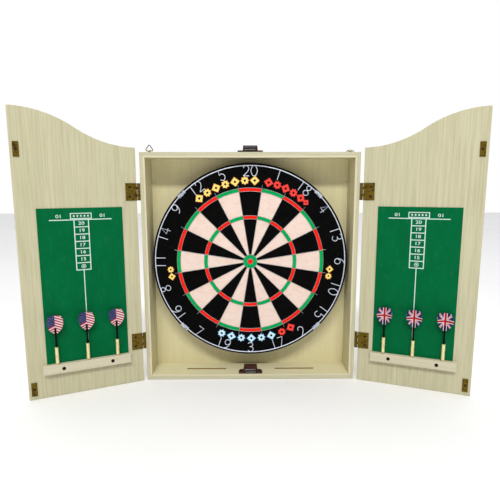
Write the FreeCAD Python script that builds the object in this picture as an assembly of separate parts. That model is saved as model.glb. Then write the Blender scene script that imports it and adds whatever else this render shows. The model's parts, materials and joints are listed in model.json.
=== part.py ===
import FreeCAD, Part

import math
import os

# Dart board cabinet, millimetres. +X is the cabinet's right as its user faces it, -Y is the front,
# +Z is up. The origin is the centre of the back panel's rear face, the face that rests on the wall.
# Doors are built closed, on the left side, and then mirrored and swung to the angle they stand at.

# The board, and the room the cabinet leaves around it.
board_diameter = 451.0
board_backing_thickness = 12.0
board_sisal_thickness = 26.0
rim_band_thickness = 0.8
board_side_gap = 6.5
board_top_gap = 10.5
board_bottom_gap = 41.5

# Cabinet panels.
panel_thickness = 12.0
back_thickness = 9.0
chalk_groove_length = 96.0
chalk_groove_width = 6.5
chalk_groove_depth = 3.5
chalk_groove_centre = 106.5
chalk_groove_setback = 33.0

# Doors: angle each stands open, heights over the cabinet at the two edges, gaps.
door_open_degrees = {"left": 156.5, "right": 159.0}
door_thickness = 12.0
door_rise_at_hinge = 9.0
door_rise_at_free_edge = 83.0
door_centre_gap = 2.0
door_hinge_edge_gap = 1.2

# Hinges. The pin stands outside the cabinet's side and in front of its front edge.
hinge_side_clearance = 0.2
hinge_front_offset = 2.2
hinge_height = 38.0
hinge_lower_centre = 97.5
hinge_upper_drop = 86.5
knuckle_radius = 3.0
knuckle_count = 5
knuckle_gap = 0.3
pin_radius = 1.3
pin_running_clearance = 0.05
leaf_thickness = 1.5
leaf_knuckle_clearance = 0.7
leaf_end_margin = 8.2
hinge_screw_spacing = 21.0

# Screws: shank radius, length in the wood, head radius and head height.
small_screw = {"shank": 1.4, "length": 9.0, "head": 2.6, "rise": 1.0}
rail_screw = {"shank": 1.6, "length": 8.0, "head": 3.8, "rise": 1.4}
cross_recess_width = 0.7
cross_recess_share = 0.6
screw_edge_clearance = 2.2

# Scoreboard sheet and dart rail on each door, as margins from the door's own edges.
scoreboard_thickness = 1.2
scoreboard_hinge_margin = 32.8
scoreboard_free_margin = 39.0
scoreboard_top_margin = 127.8
rail_bottom = 54.4
rail_height = 20.0
rail_depth = 11.0
rail_hinge_margin = 29.3
rail_free_margin = 32.0
rail_screw_half_spacing = 50.6

# Darts: three stand in each rail, leaning a little off the door.
dart_pitch = 62.5
darts_per_door = 3
dart_lean_degrees = 2.5
dart_seat_gap = 0.15
point_radius = 1.15
point_length = 31.5
point_socket = 8.0
point_taper = 9.0
point_hole_clearance = 0.85
barrel_radius = 3.7
barrel_nose_radius = 2.6
barrel_length = 39.0
barrel_nose_length = 4.5
barrel_door_clearance = 1.1
grip_groove_count = 8
grip_groove_pitch = 3.0
grip_groove_depth = 0.35
shaft_radius = 2.5
shaft_length = 42.0
shaft_spigot_radius = 1.6
shaft_spigot_length = 6.5
flight_height = 40.0
flight_half_span = 18.0
flight_thickness = 0.4
flight_slit_clearance = 0.1
flight_grip = 12.0
flight_wing_degrees = 27.0

# Magnetic catches and the strike plates that meet them.
catch_flange_width = 56.0
catch_flange_depth = 20.0
catch_flange_thickness = 3.5
catch_housing_width = 34.0
catch_housing_depth = 26.0
catch_housing_height = 14.2
catch_corner_radius = 8.0
catch_setback = 2.5
catch_screw_half_spacing = 22.5
pole_width = 24.5
pole_thickness = 1.4
pole_depth = 18.0
pole_heights = (4.7, 10.8)
pole_projection = 2.0
magnet_recess = 3.0
strike_width = 11.3
strike_height = 30.0
strike_thickness = 1.5
strike_edge_margin = 5.7
strike_lower_shift = 4.0
strike_upper_shift = -8.0
strike_screw_clearance = 0.2

# Hanger straps and rings on the rear edges of the side panels.
strap_width = 7.0
strap_thickness = 1.0
strap_drop = 29.0
strap_screw_drop = 21.0
strap_loop_height = 8.3
ring_wire_radius = 1.0
ring_loop_clearance = 0.3
ring_half_width = 11.0
ring_height = 15.0
ring_corner_radius = 2.2

# Bracket, hanging screw and rest pads that carry the board.
bracket_thickness = 1.5
bracket_plate_width = 30.0
bracket_width = 64.0
bracket_drop = 24.0
bracket_screw_spacing = 48.0
bracket_screw_back_skin = 2.0
hanging_screw_radius = 2.0
hanging_screw_head_radius = 5.0
hanging_screw_head_thickness = 2.4
hanging_screw_grip = 11.0
hanging_head_clearance = 0.7
hanging_slot_clearance = 0.3
hanging_bore_clearance = 0.05
hanging_lift = 8.0
washer_radius = 8.0
washer_thickness = 1.2
washer_clearance = 0.25
rest_pad_radius = 9.0
rest_pad_inset = 45.5
rest_pad_count = 3
rest_pad_clearance = 0.3

# Wires on the board's face. Ring positions are counted inwards from the double ring's outer wire.
segment_count = 20
number_band_width = 55.5
scoring_ring_width = 8.0
treble_inset = 63.0
outer_bull_radius = 15.9
inner_bull_radius = 6.35
spider_wire = 1.2
spider_overrun = 8.0

# Number ring, its numerals and its clips.
number_ring_inset = 5.5
number_ring_wire = 2.4
number_ring_face_gap = 0.4
numeral_height = 23.0
numeral_wire = 2.0
numeral_weld_inset = 0.7
digit_width = 13.0
digit_gap = 5.0
clip_count = 4
clip_length = 20.0
clip_wall = 2.4
clip_clearance = 0.3
clip_rise = 3.4
clockwise_numbers = (20, 1, 18, 4, 13, 6, 10, 15, 2, 17, 3, 19, 7, 16, 8, 11, 14, 9, 12, 5)
inward_topped_numbers = (2, 17, 3, 19, 7)

# Room between the closed doors' darts and the number ring.
closed_clearance = 3.5

# Worked out: the board stack, front to back.
board_radius = board_diameter / 2
board_thickness = board_backing_thickness + board_sisal_thickness
bracket_standoff = bracket_thickness + hanging_screw_head_thickness + 2 * hanging_head_clearance
board_standoff = bracket_standoff + washer_thickness + 2 * washer_clearance
bracket_screw_length = back_thickness - bracket_screw_back_skin
number_ring_front = number_ring_face_gap + number_ring_wire
dart_offset = scoreboard_thickness + barrel_radius + barrel_door_clearance
dart_height = barrel_length + shaft_length + flight_height - flight_grip
flight_reach = flight_half_span * math.sin(math.radians(flight_wing_degrees))
dart_reach = dart_offset + dart_height * math.tan(math.radians(dart_lean_degrees)) + flight_reach
board_front_room = dart_reach - hinge_front_offset + number_ring_front + closed_clearance

# Worked out: the cabinet around it, and where its faces lie.
cabinet_width = board_diameter + 2 * (board_side_gap + panel_thickness)
cabinet_height = board_diameter + board_top_gap + board_bottom_gap + 2 * panel_thickness
cabinet_depth = back_thickness + board_standoff + board_thickness + board_front_room
half_width = cabinet_width / 2
half_height = cabinet_height / 2
front_y = -cabinet_depth
back_front_y = -back_thickness
board_rear_y = back_front_y - board_standoff
board_face_y = board_rear_y - board_thickness
board_centre_z = panel_thickness + board_bottom_gap + board_radius - half_height
hinge_side_offset = knuckle_radius + hinge_side_clearance
hinge_x = half_width + hinge_side_offset
hinge_y = front_y - hinge_front_offset
strike_screw_rise = hinge_front_offset - strike_thickness - strike_screw_clearance
strike_screw = dict(small_screw, rise=strike_screw_rise)
hinge_centres = (hinge_lower_centre - half_height, half_height - hinge_upper_drop)
hinge_screw_reach = hinge_side_offset + panel_thickness + small_screw["head"] + screw_edge_clearance
leaf_reach = hinge_screw_reach + leaf_end_margin
leaf_start = knuckle_radius + leaf_knuckle_clearance

# Worked out: each door and what is on it. The door's own frame counts s from the hinge pin
# towards the free edge, w from the door's inner face into the cabinet, and z in the cabinet's frame.
door_near_edge = knuckle_radius + door_hinge_edge_gap
door_far_edge = hinge_x - door_centre_gap / 2
door_bottom_z = -half_height
rail_near = door_near_edge + rail_hinge_margin
rail_far = door_far_edge - rail_free_margin
rail_centre = (rail_near + rail_far) / 2
rail_bottom_z = door_bottom_z + rail_bottom
rail_top_z = rail_bottom_z + rail_height
point_hole_radius = point_radius + point_hole_clearance
catch_front_y = front_y + catch_setback
catch_bases_z = (panel_thickness - half_height, half_height)
strike_shifts = (strike_lower_shift, strike_upper_shift)

double_outer_radius = board_radius - number_band_width
treble_outer_radius = double_outer_radius - treble_inset
number_ring_radius = board_radius - number_ring_inset
rest_pad_circle = board_radius - rest_pad_inset
strap_loop_inner = ring_wire_radius + ring_loop_clearance
strap_loop_outer = strap_loop_inner + strap_thickness
ring_axis_y = strap_loop_outer
ring_axis_z = half_height + strap_loop_height
ring_axis_x = half_width - panel_thickness / 2

X_AXIS = FreeCAD.Vector(1, 0, 0)
Y_AXIS = FreeCAD.Vector(0, 1, 0)
Z_AXIS = FreeCAD.Vector(0, 0, 1)
FRONT = FreeCAD.Vector(0, -1, 0)
SIDES = ("left", "right")
SIGN = {"left": -1, "right": 1}


def vec(x, y, z):
    return FreeCAD.Vector(x, y, z)


def block(x0, x1, y0, y1, z0, z1):
    """A box between two values on each axis."""
    return Part.makeBox(x1 - x0, y1 - y0, z1 - z0, vec(x0, y0, z0))


def rod(start, direction, length, radius):
    return Part.makeCylinder(radius, length, start, direction)


def tube(start, direction, length, outer, inner):
    return rod(start, direction, length, outer).cut(rod(start, direction, length, inner))


def prism(points, reach):
    """A closed polygon pushed along a vector."""
    outline = Part.makePolygon(list(points) + [points[0]])
    return Part.Face(outline).extrude(reach)


def fused(shapes):
    """Several overlapping shapes as one solid."""
    return shapes[0].multiFuse(shapes[1:]).removeSplitter()


def group(shapes):
    """Separate solids that share a node."""
    return Part.makeCompound(shapes)


def aimed(shape, seat, outward):
    """A shape made along +Z, set on a seat so that +Z points outward."""
    placed = shape.copy()
    placed.Placement = FreeCAD.Placement(seat, FreeCAD.Rotation(Z_AXIS, outward))
    return placed


def screw(kind, seat, outward, through=0.0):
    """A cross-head screw on its seat. through is what it passes before it reaches the wood."""
    head = Part.makeCone(kind["head"], kind["head"] * 0.75, kind["rise"])
    shank = rod(vec(0, 0, 0), vec(0, 0, -1), through + kind["length"], kind["shank"])
    body = head.fuse(shank)
    arm = kind["head"] * 0.55
    half = cross_recess_width / 2
    floor = kind["rise"] * (1 - cross_recess_share)
    body = body.cut(block(-arm, arm, -half, half, floor, kind["rise"]))
    body = body.cut(block(-half, half, -arm, arm, floor, kind["rise"]))
    return aimed(body, seat, outward)


def screw_hole(kind, seat, outward, depth):
    """What a screw's shank takes out of the pieces under its head."""
    return aimed(rod(vec(0, 0, 0), vec(0, 0, -1), depth, kind["shank"]), seat, outward)


def without_holes(shape, holes):
    return shape.cut(group(holes)) if holes else shape


# ---------------------------------------------------------------- cabinet panels


def catch_screw_seats():
    return [
        vec(sign * catch_screw_half_spacing, catch_front_y + catch_flange_depth / 2, base)
        for base in catch_bases_z
        for sign in (-1, 1)
    ]


def catch_panel_holes(base):
    seats = [seat for seat in catch_screw_seats() if seat.z == base]
    return [screw_hole(small_screw, seat, Z_AXIS, small_screw["length"]) for seat in seats]


def top_panel():
    """Mitred board across the top, with the upper catch screwed on it."""
    outline = [
        vec(-half_width, front_y, half_height),
        vec(half_width, front_y, half_height),
        vec(half_width - panel_thickness, front_y, half_height - panel_thickness),
        vec(-half_width + panel_thickness, front_y, half_height - panel_thickness),
    ]
    return without_holes(prism(outline, vec(0, cabinet_depth, 0)), catch_panel_holes(half_height))


def chalk_groove(sign):
    """A round-ended groove in the top of the bottom panel."""
    floor = panel_thickness - half_height - chalk_groove_depth
    centre_y = front_y + chalk_groove_setback
    half_run = (chalk_groove_length - chalk_groove_width) / 2
    centre_x = sign * chalk_groove_centre
    radius = chalk_groove_width / 2
    run = block(
        centre_x - half_run, centre_x + half_run,
        centre_y - radius, centre_y + radius,
        floor, floor + chalk_groove_depth,
    )
    ends = [
        rod(vec(centre_x + end * half_run, centre_y, floor), Z_AXIS, chalk_groove_depth, radius)
        for end in (-1, 1)
    ]
    return run.multiFuse(ends)


def bottom_panel():
    """Mitred board across the bottom: the shelf under the dart board, with two chalk grooves."""
    outline = [
        vec(-half_width, front_y, -half_height),
        vec(half_width, front_y, -half_height),
        vec(half_width - panel_thickness, front_y, panel_thickness - half_height),
        vec(-half_width + panel_thickness, front_y, panel_thickness - half_height),
    ]
    cuts = catch_panel_holes(panel_thickness - half_height) + [chalk_groove(-1), chalk_groove(1)]
    panel = prism(outline, vec(0, cabinet_depth, 0))
    for cut in cuts:
        panel = panel.cut(cut)
    return panel


def cabinet_leaf_screw_seats(side):
    """Where the hinge screws' heads sit on the leaves, outside the side panel."""
    x = SIGN[side] * (half_width + leaf_thickness)
    return [
        vec(x, hinge_y + hinge_screw_reach, centre + step * hinge_screw_spacing / 2)
        for centre in hinge_centres
        for step in (-1, 1)
    ]


def strap_screw_seat(side):
    return vec(SIGN[side] * ring_axis_x, strap_thickness, half_height - strap_screw_drop)


def side_panel(side):
    """Mitred upright that carries the hinges outside and the hanger strap behind."""
    outer = SIGN[side] * half_width
    inner = SIGN[side] * (half_width - panel_thickness)
    outline = [
        vec(outer, front_y, -half_height),
        vec(outer, front_y, half_height),
        vec(inner, front_y, half_height - panel_thickness),
        vec(inner, front_y, panel_thickness - half_height),
    ]
    outward = vec(SIGN[side], 0, 0)
    depth = leaf_thickness + small_screw["length"]
    holes = [screw_hole(small_screw, seat, outward, depth) for seat in cabinet_leaf_screw_seats(side)]
    depth = strap_thickness + small_screw["length"]
    holes.append(screw_hole(small_screw, strap_screw_seat(side), Y_AXIS, depth))
    return without_holes(prism(outline, vec(0, cabinet_depth, 0)), holes)


def bracket_screw_seats():
    y = back_front_y - bracket_thickness
    z = board_centre_z - bracket_drop / 2
    return [vec(sign * bracket_screw_spacing / 2, y, z) for sign in (-1, 1)]


def back_panel():
    """Thin board set inside the four panels, flush with them at the rear."""
    inner_x = half_width - panel_thickness
    inner_z = half_height - panel_thickness
    panel = block(-inner_x, inner_x, back_front_y, 0, -inner_z, inner_z)
    depth = bracket_thickness + bracket_screw_length
    return without_holes(
        panel, [screw_hole(small_screw, seat, FRONT, depth) for seat in bracket_screw_seats()]
    )


# ---------------------------------------------------------------- catches


def rounded_plate(width, depth, thickness, base):
    """A catch flange: square at the front, rounded at its two rear corners."""
    plate = block(
        -width / 2, width / 2, catch_front_y, catch_front_y + depth, base, base + thickness
    )
    rear = catch_front_y + depth
    corners = [
        edge
        for edge in plate.Edges
        if all(abs(vertex.Y - rear) < 1e-6 for vertex in edge.Vertexes)
        and abs(edge.Vertexes[0].Z - edge.Vertexes[1].Z) > 1e-6
    ]
    return plate.makeFillet(min(catch_corner_radius, depth / 2), corners)


def pole_block(base, low, high, front, rear):
    return block(-pole_width / 2, pole_width / 2, front, rear, base + low, base + high)


def pole_span():
    """Lowest and highest points of the stack of two pole plates over the catch's base."""
    return pole_heights[0] - pole_thickness / 2, pole_heights[1] + pole_thickness / 2


def catch_housing(base):
    """Moulded case with a screw flange and a pocket for the magnet and its pole plates."""
    flange = rounded_plate(catch_flange_width, catch_flange_depth, catch_flange_thickness, base)
    case = block(
        -catch_housing_width / 2, catch_housing_width / 2,
        catch_front_y, catch_front_y + catch_housing_depth,
        base, base + catch_housing_height,
    )
    low, high = pole_span()
    pocket = pole_block(base, low, high, catch_front_y, catch_front_y + pole_depth)
    holes = [
        rod(seat, Z_AXIS, catch_flange_thickness, small_screw["shank"])
        for seat in catch_screw_seats()
        if seat.z == base
    ]
    return without_holes(fused([flange, case]).cut(pocket), holes)


def catch_pole_plates():
    """Two steel plates in each catch, their front edges standing out to meet the strikes."""
    plates = []
    for base in catch_bases_z:
        for height in pole_heights:
            low = height - pole_thickness / 2
            high = height + pole_thickness / 2
            rear = catch_front_y + pole_depth
            plates.append(pole_block(base, low, high, catch_front_y - pole_projection, rear))
    return group(plates)


def catch_magnets():
    low = pole_heights[0] + pole_thickness / 2
    high = pole_heights[1] - pole_thickness / 2
    front = catch_front_y - pole_projection + magnet_recess
    rear = catch_front_y + pole_depth
    return group([pole_block(base, low, high, front, rear) for base in catch_bases_z])


def catch_screws():
    raised = vec(0, 0, catch_flange_thickness)
    return group(
        [
            screw(small_screw, seat + raised, Z_AXIS, catch_flange_thickness)
            for seat in catch_screw_seats()
        ]
    )


# ---------------------------------------------------------------- hangers


def hanger_strap(side):
    """Steel strap up the rear edge of a side panel, rolled into an eye over the top."""
    x = SIGN[side] * ring_axis_x
    half = strap_width / 2
    plate = block(x - half, x + half, 0, strap_thickness, half_height - strap_drop, ring_axis_z)
    eye_start = vec(x - half, ring_axis_y, ring_axis_z)
    eye = rod(eye_start, X_AXIS, strap_width, strap_loop_outer)
    bore = rod(eye_start, X_AXIS, strap_width, strap_loop_inner)
    strap = fused([plate, eye]).cut(bore)
    hole = screw_hole(small_screw, strap_screw_seat(side), Y_AXIS, strap_thickness)
    return strap.cut(hole)


def hanger_straps():
    return group([hanger_strap(side) for side in SIDES])


def hanger_screws():
    return group(
        [screw(small_screw, strap_screw_seat(side), Y_AXIS, strap_thickness) for side in SIDES]
    )


def rounded_loop(points, radius):
    """A closed wire through the points, with an arc of the radius at each corner."""
    edges = []
    count = len(points)
    arcs = []
    for index, corner in enumerate(points):
        back = (points[index - 1] - corner).normalize()
        ahead = (points[(index + 1) % count] - corner).normalize()
        half_turn = math.acos(max(-1.0, min(1.0, back.dot(ahead)))) / 2
        setback = radius / math.tan(half_turn)
        inward = (back + ahead).normalize()
        middle = corner + inward * (radius / math.sin(half_turn) - radius)
        arcs.append((corner + back * setback, middle, corner + ahead * setback))
    for index, (start, middle, end) in enumerate(arcs):
        edges.append(Part.Arc(start, middle, end).toShape())
        edges.append(Part.makeLine(end, arcs[(index + 1) % count][0]))
    return Part.Wire(edges)


def hanger_ring(side):
    """Bent wire triangle. Its straight side turns in the strap's eye.

    The left ring stands up. The right ring hangs down behind the cabinet.
    """
    x = SIGN[side] * ring_axis_x
    rise = ring_height if side == "left" else -ring_height
    foot = ring_half_width - ring_wire_radius
    corners = [
        vec(x - foot, ring_axis_y, ring_axis_z),
        vec(x + foot, ring_axis_y, ring_axis_z),
        vec(x, ring_axis_y, ring_axis_z + rise),
    ]
    path = rounded_loop(corners, ring_corner_radius)
    start = path.Edges[0].valueAt(path.Edges[0].FirstParameter)
    tangent = path.Edges[0].tangentAt(path.Edges[0].FirstParameter)
    profile = Part.Wire(Part.Circle(start, tangent, ring_wire_radius).toShape())
    return path.makePipeShell([profile], True, False)


# ---------------------------------------------------------------- board bracket and hanging screw


def board_bracket():
    """Pressed hat section on the back panel, with an open-topped slot for the hanging screw."""
    plate_y = back_front_y - bracket_standoff
    half_plate = bracket_plate_width / 2
    low = board_centre_z - bracket_drop
    high = board_centre_z + hanging_lift
    plate = block(-half_plate, half_plate, plate_y, plate_y + bracket_thickness, low, high)
    walls = [
        block(
            sign * half_plate - (bracket_thickness if sign > 0 else 0),
            sign * half_plate + (0 if sign > 0 else bracket_thickness),
            plate_y, back_front_y, low, high,
        )
        for sign in (-1, 1)
    ]
    feet = [
        block(
            min(sign * half_plate, sign * bracket_width / 2),
            max(sign * half_plate, sign * bracket_width / 2),
            back_front_y - bracket_thickness, back_front_y, low, high,
        )
        for sign in (-1, 1)
    ]
    bracket = fused([plate] + walls + feet)
    slot_radius = hanging_screw_radius + hanging_slot_clearance
    seat = rod(vec(0, plate_y, board_centre_z), Y_AXIS, bracket_thickness, slot_radius)
    channel = block(
        -slot_radius, slot_radius, plate_y, plate_y + bracket_thickness, board_centre_z, high
    )
    holes = [
        screw_hole(small_screw, place, FRONT, bracket_thickness) for place in bracket_screw_seats()
    ]
    return bracket.cut(seat).cut(channel).cut(group(holes))


def bracket_screws():
    short = dict(small_screw, length=bracket_screw_length)
    return group([screw(short, seat, FRONT, bracket_thickness) for seat in bracket_screw_seats()])


def hanging_screw():
    """Screw in the middle of the board's back, with its washer. The board hangs and turns on it."""
    head_y = back_front_y - hanging_head_clearance
    washer_y = back_front_y - bracket_standoff - washer_clearance
    end_y = board_rear_y - hanging_screw_grip
    head_seat = vec(0, head_y, board_centre_z)
    washer_seat = vec(0, washer_y, board_centre_z)
    head = rod(head_seat, FRONT, hanging_screw_head_thickness, hanging_screw_head_radius)
    shank = rod(head_seat, FRONT, head_y - end_y, hanging_screw_radius)
    washer = tube(washer_seat, FRONT, washer_thickness, washer_radius, hanging_screw_radius)
    return group([head.fuse(shank), washer])


# ---------------------------------------------------------------- dart board


def board_disc(rear_y, thickness, radius):
    return rod(vec(0, rear_y, board_centre_z), FRONT, thickness, radius)


def board_backing():
    """Chipboard disc behind the sisal, bored for the hanging screw."""
    disc = board_disc(board_rear_y, board_backing_thickness, board_radius - rim_band_thickness)
    bore_radius = hanging_screw_radius + hanging_bore_clearance
    return disc.cut(board_disc(board_rear_y, board_backing_thickness, bore_radius))


def board_sisal():
    rear = board_rear_y - board_backing_thickness
    return board_disc(rear, board_sisal_thickness, board_radius - rim_band_thickness)


def board_rim_band():
    inner = board_radius - rim_band_thickness
    return tube(vec(0, board_rear_y, board_centre_z), FRONT, board_thickness, board_radius, inner)


def face_ring(radius, wire, rear_gap=0.0):
    """A ring of square wire on the board's face, or standing a gap in front of it."""
    start = vec(0, board_face_y - rear_gap, board_centre_z)
    return tube(start, FRONT, wire, radius + wire / 2, radius - wire / 2)


def about_board(shape, degrees):
    """Turns a shape clockwise about the board's centre, as seen from the front."""
    turned = shape.copy()
    turned.rotate(vec(0, 0, board_centre_z), Y_AXIS, degrees)
    return turned


def board_spider():
    """Welded wires that part the beds: six rings and twenty spokes."""
    radii = (
        double_outer_radius,
        double_outer_radius - scoring_ring_width,
        treble_outer_radius,
        treble_outer_radius - scoring_ring_width,
        outer_bull_radius,
        inner_bull_radius,
    )
    rings = [face_ring(radius, spider_wire) for radius in radii]
    spoke = block(
        -spider_wire / 2, spider_wire / 2,
        board_face_y - spider_wire, board_face_y,
        board_centre_z + outer_bull_radius, board_centre_z + double_outer_radius + spider_overrun,
    )
    step = 360 / segment_count
    spokes = [about_board(spoke, step * (index + 0.5)) for index in range(segment_count)]
    inner_bull = rings.pop()
    return group([fused(rings + spokes), inner_bull])


def number_ring_clips():
    """Open clips stapled to the face. The number ring presses into them from the front."""
    half_radial = number_ring_wire / 2 + clip_clearance + clip_wall
    body = block(
        -clip_length / 2, clip_length / 2,
        board_face_y - clip_rise, board_face_y,
        board_centre_z + number_ring_radius - half_radial,
        board_centre_z + number_ring_radius + half_radial,
    )
    groove_half = number_ring_wire / 2 + clip_clearance
    groove_floor = board_face_y - number_ring_face_gap + clip_clearance / 2
    groove = tube(
        vec(0, groove_floor, board_centre_z), FRONT, clip_rise,
        number_ring_radius + groove_half, number_ring_radius - groove_half,
    )
    clip = body.cut(groove)
    return group([about_board(clip, 360 / clip_count * (index + 0.5)) for index in range(clip_count)])


def board_rest_pads():
    """Rubber pads that steady the back of the board against the back panel."""
    thickness = board_standoff - rest_pad_clearance
    pad = rod(
        vec(0, board_rear_y, board_centre_z + rest_pad_circle), Y_AXIS, thickness, rest_pad_radius
    )
    return group([about_board(pad, 360 / rest_pad_count * index) for index in range(rest_pad_count)])


# ---------------------------------------------------------------- number ring


def stroke(x0, z0, x1, z1):
    """A straight piece of a wire numeral."""
    length = math.hypot(x1 - x0, z1 - z0)
    bar = block(0, length, 0, numeral_wire, -numeral_wire / 2, numeral_wire / 2)
    bar.rotate(vec(0, 0, 0), Y_AXIS, -math.degrees(math.atan2(z1 - z0, x1 - x0)))
    bar.translate(vec(x0, 0, z0))
    return bar


def bend(x, z, radius, start_degrees, end_degrees):
    """A curved piece of a wire numeral, anticlockwise from one angle to the other."""
    outer = radius + numeral_wire / 2
    inner = radius - numeral_wire / 2
    if end_degrees - start_degrees >= 360:
        return tube(vec(x, 0, z), Y_AXIS, numeral_wire, outer, inner)

    def at(distance, degrees):
        angle = math.radians(degrees)
        return vec(x + distance * math.cos(angle), 0, z + distance * math.sin(angle))

    middle = (start_degrees + end_degrees) / 2
    edges = [
        Part.Arc(at(outer, start_degrees), at(outer, middle), at(outer, end_degrees)).toShape(),
        Part.makeLine(at(outer, end_degrees), at(inner, end_degrees)),
        Part.Arc(at(inner, end_degrees), at(inner, middle), at(inner, start_degrees)).toShape(),
        Part.makeLine(at(inner, start_degrees), at(outer, start_degrees)),
    ]
    return Part.Face(Part.Wire(edges)).extrude(vec(0, numeral_wire, 0))


def digit_pieces(character):
    """The wires of one digit, its foot at z 0, with its left side at x 0."""
    w = digit_width
    h = numeral_height
    r = w / 2
    top = h - r
    lobe = h / 4
    bowl = h * 0.27
    sweep = w * 1.35
    if character == "0":
        return [bend(r, top, r, 0, 180), stroke(0, r, 0, top), bend(r, r, r, 180, 360), stroke(w, r, w, top)]
    if character == "1":
        return [stroke(r, 0, r, h)]
    if character == "2":
        return [bend(r, top, r, -40, 170), stroke(w * 0.9, h - r * 1.64, 0, 0), stroke(0, 0, w, 0)]
    if character == "3":
        return [bend(r, h - lobe, lobe, -90, 150), bend(r, lobe, lobe, -150, 90)]
    if character == "4":
        upright = w * 0.7
        bar = h * 0.3
        return [stroke(upright, 0, upright, h), stroke(upright, h, 0, bar), stroke(0, bar, w, bar)]
    if character == "5":
        left = w * 0.1
        flag = stroke(w * 0.9, h, left, h)
        return [flag, stroke(left, h, left, h / 2), bend(w * 0.45, bowl, bowl, -150, 130)]
    if character == "6":
        return [bend(r, r, r, 0, 360), bend(sweep, r, sweep, 112, 168)]
    if character == "7":
        return [stroke(0, h, w, h), stroke(w, h, w * 0.3, 0)]
    if character == "8":
        return [bend(r, h - lobe, lobe, 0, 360), bend(r, lobe, lobe, 0, 360)]
    return [bend(r, top, r, 0, 360), bend(w - sweep, top, sweep, -68, -12)]


def digit(character):
    pieces = digit_pieces(character)
    return pieces[0].multiFuse(pieces[1:]) if len(pieces) > 1 else pieces[0]


def numeral(number, place):
    """A whole number on the ring. place counts the segments clockwise from the top."""
    text = str(number)
    width = len(text) * digit_width + (len(text) - 1) * digit_gap
    glyphs = []
    for index, character in enumerate(text):
        glyph = digit(character)
        glyph.translate(vec(index * (digit_width + digit_gap) - width / 2, 0, -numeral_height / 2))
        glyphs.append(glyph)
    centre = board_centre_z + number_ring_radius - numeral_weld_inset - numeral_height / 2
    rear_y = board_face_y - number_ring_face_gap - (number_ring_wire + numeral_wire) / 2
    placed = []
    for glyph in glyphs:
        if number in inward_topped_numbers:
            glyph.rotate(vec(0, 0, 0), Y_AXIS, 180)
        glyph.translate(vec(0, rear_y, centre))
        placed.append(about_board(glyph, place * 360 / segment_count))
    return placed


def number_ring():
    """Wire hoop with wire numerals welded inside it."""
    hoop = face_ring(number_ring_radius, number_ring_wire, number_ring_face_gap)
    numerals = []
    for place, number in enumerate(clockwise_numbers):
        numerals.extend(numeral(number, place))
    return hoop.multiFuse(numerals)


# ---------------------------------------------------------------- hinges


def knuckle_spans(centre):
    """Start and length of each knuckle of one hinge, from its foot up."""
    pitch = hinge_height / knuckle_count
    start = centre - hinge_height / 2
    return [
        (start + index * pitch + knuckle_gap / 2, pitch - knuckle_gap) for index in range(knuckle_count)
    ]


def hinge_cabinet_leaf(side, centre):
    """Leaf on the outside of the side panel. It carries the first, third and fifth knuckles."""
    sign = SIGN[side]
    inner = sign * half_width
    outer = sign * (half_width + leaf_thickness)
    low_x, high_x = min(inner, outer), max(inner, outer)
    bottom, top = centre - hinge_height / 2, centre + hinge_height / 2
    pieces = [block(low_x, high_x, hinge_y + leaf_start, hinge_y + leaf_reach, bottom, top)]
    axis_x = sign * hinge_x
    for start, length in knuckle_spans(centre)[0::2]:
        pieces.append(rod(vec(axis_x, hinge_y, start), Z_AXIS, length, knuckle_radius))
        pieces.append(block(low_x, high_x, hinge_y, hinge_y + leaf_start, start, start + length))
    leaf = fused(pieces)
    leaf = leaf.cut(rod(vec(axis_x, hinge_y, bottom), Z_AXIS, hinge_height, pin_radius))
    outward = vec(sign, 0, 0)
    holes = [
        screw_hole(small_screw, seat, outward, leaf_thickness)
        for seat in cabinet_leaf_screw_seats(side)
        if bottom < seat.z < top
    ]
    return leaf.cut(group(holes))


def hinge_cabinet_leaves():
    return group([hinge_cabinet_leaf(side, centre) for side in SIDES for centre in hinge_centres])


def hinge_pins():
    feet = [
        vec(SIGN[side] * hinge_x, hinge_y, centre - hinge_height / 2)
        for side in SIDES
        for centre in hinge_centres
    ]
    return group([rod(foot, Z_AXIS, hinge_height, pin_radius) for foot in feet])


def hinge_cabinet_screws():
    return group(
        [
            screw(small_screw, seat, vec(SIGN[side], 0, 0), leaf_thickness)
            for side in SIDES
            for seat in cabinet_leaf_screw_seats(side)
        ]
    )


# ---------------------------------------------------------------- doors, built closed on the left


def on_door(s, w, z):
    """A point in the closed left door's frame."""
    return vec(-hinge_x + s, hinge_y + w, z)


def door_block(s0, s1, w0, w1, z0, z1):
    return block(-hinge_x + s0, -hinge_x + s1, hinge_y + w0, hinge_y + w1, z0, z1)


def hung(shape, side):
    """Takes a shape built on the closed left door to its place on the open door of a side."""
    placed = shape.copy()
    if side == "right":
        placed = placed.mirror(vec(0, 0, 0), X_AXIS)
    turn = SIGN[side] * door_open_degrees[side]
    placed.rotate(vec(SIGN[side] * hinge_x, hinge_y, 0), Z_AXIS, turn)
    return placed


def door_leaf_screw_seats():
    return [
        on_door(hinge_screw_reach, leaf_thickness, centre + step * hinge_screw_spacing / 2)
        for centre in hinge_centres
        for step in (-1, 1)
    ]


def strike_centres():
    """Strike plate centres, each beside the catch that holds it."""
    s = door_far_edge - strike_edge_margin - strike_width / 2
    return [
        on_door(s, strike_thickness, base + catch_housing_height / 2 + shift)
        for base, shift in zip(catch_bases_z, strike_shifts)
    ]


def rail_screw_seats():
    z = (rail_bottom_z + rail_top_z) / 2
    return [on_door(rail_centre + sign * rail_screw_half_spacing, rail_depth, z) for sign in (-1, 1)]


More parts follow.
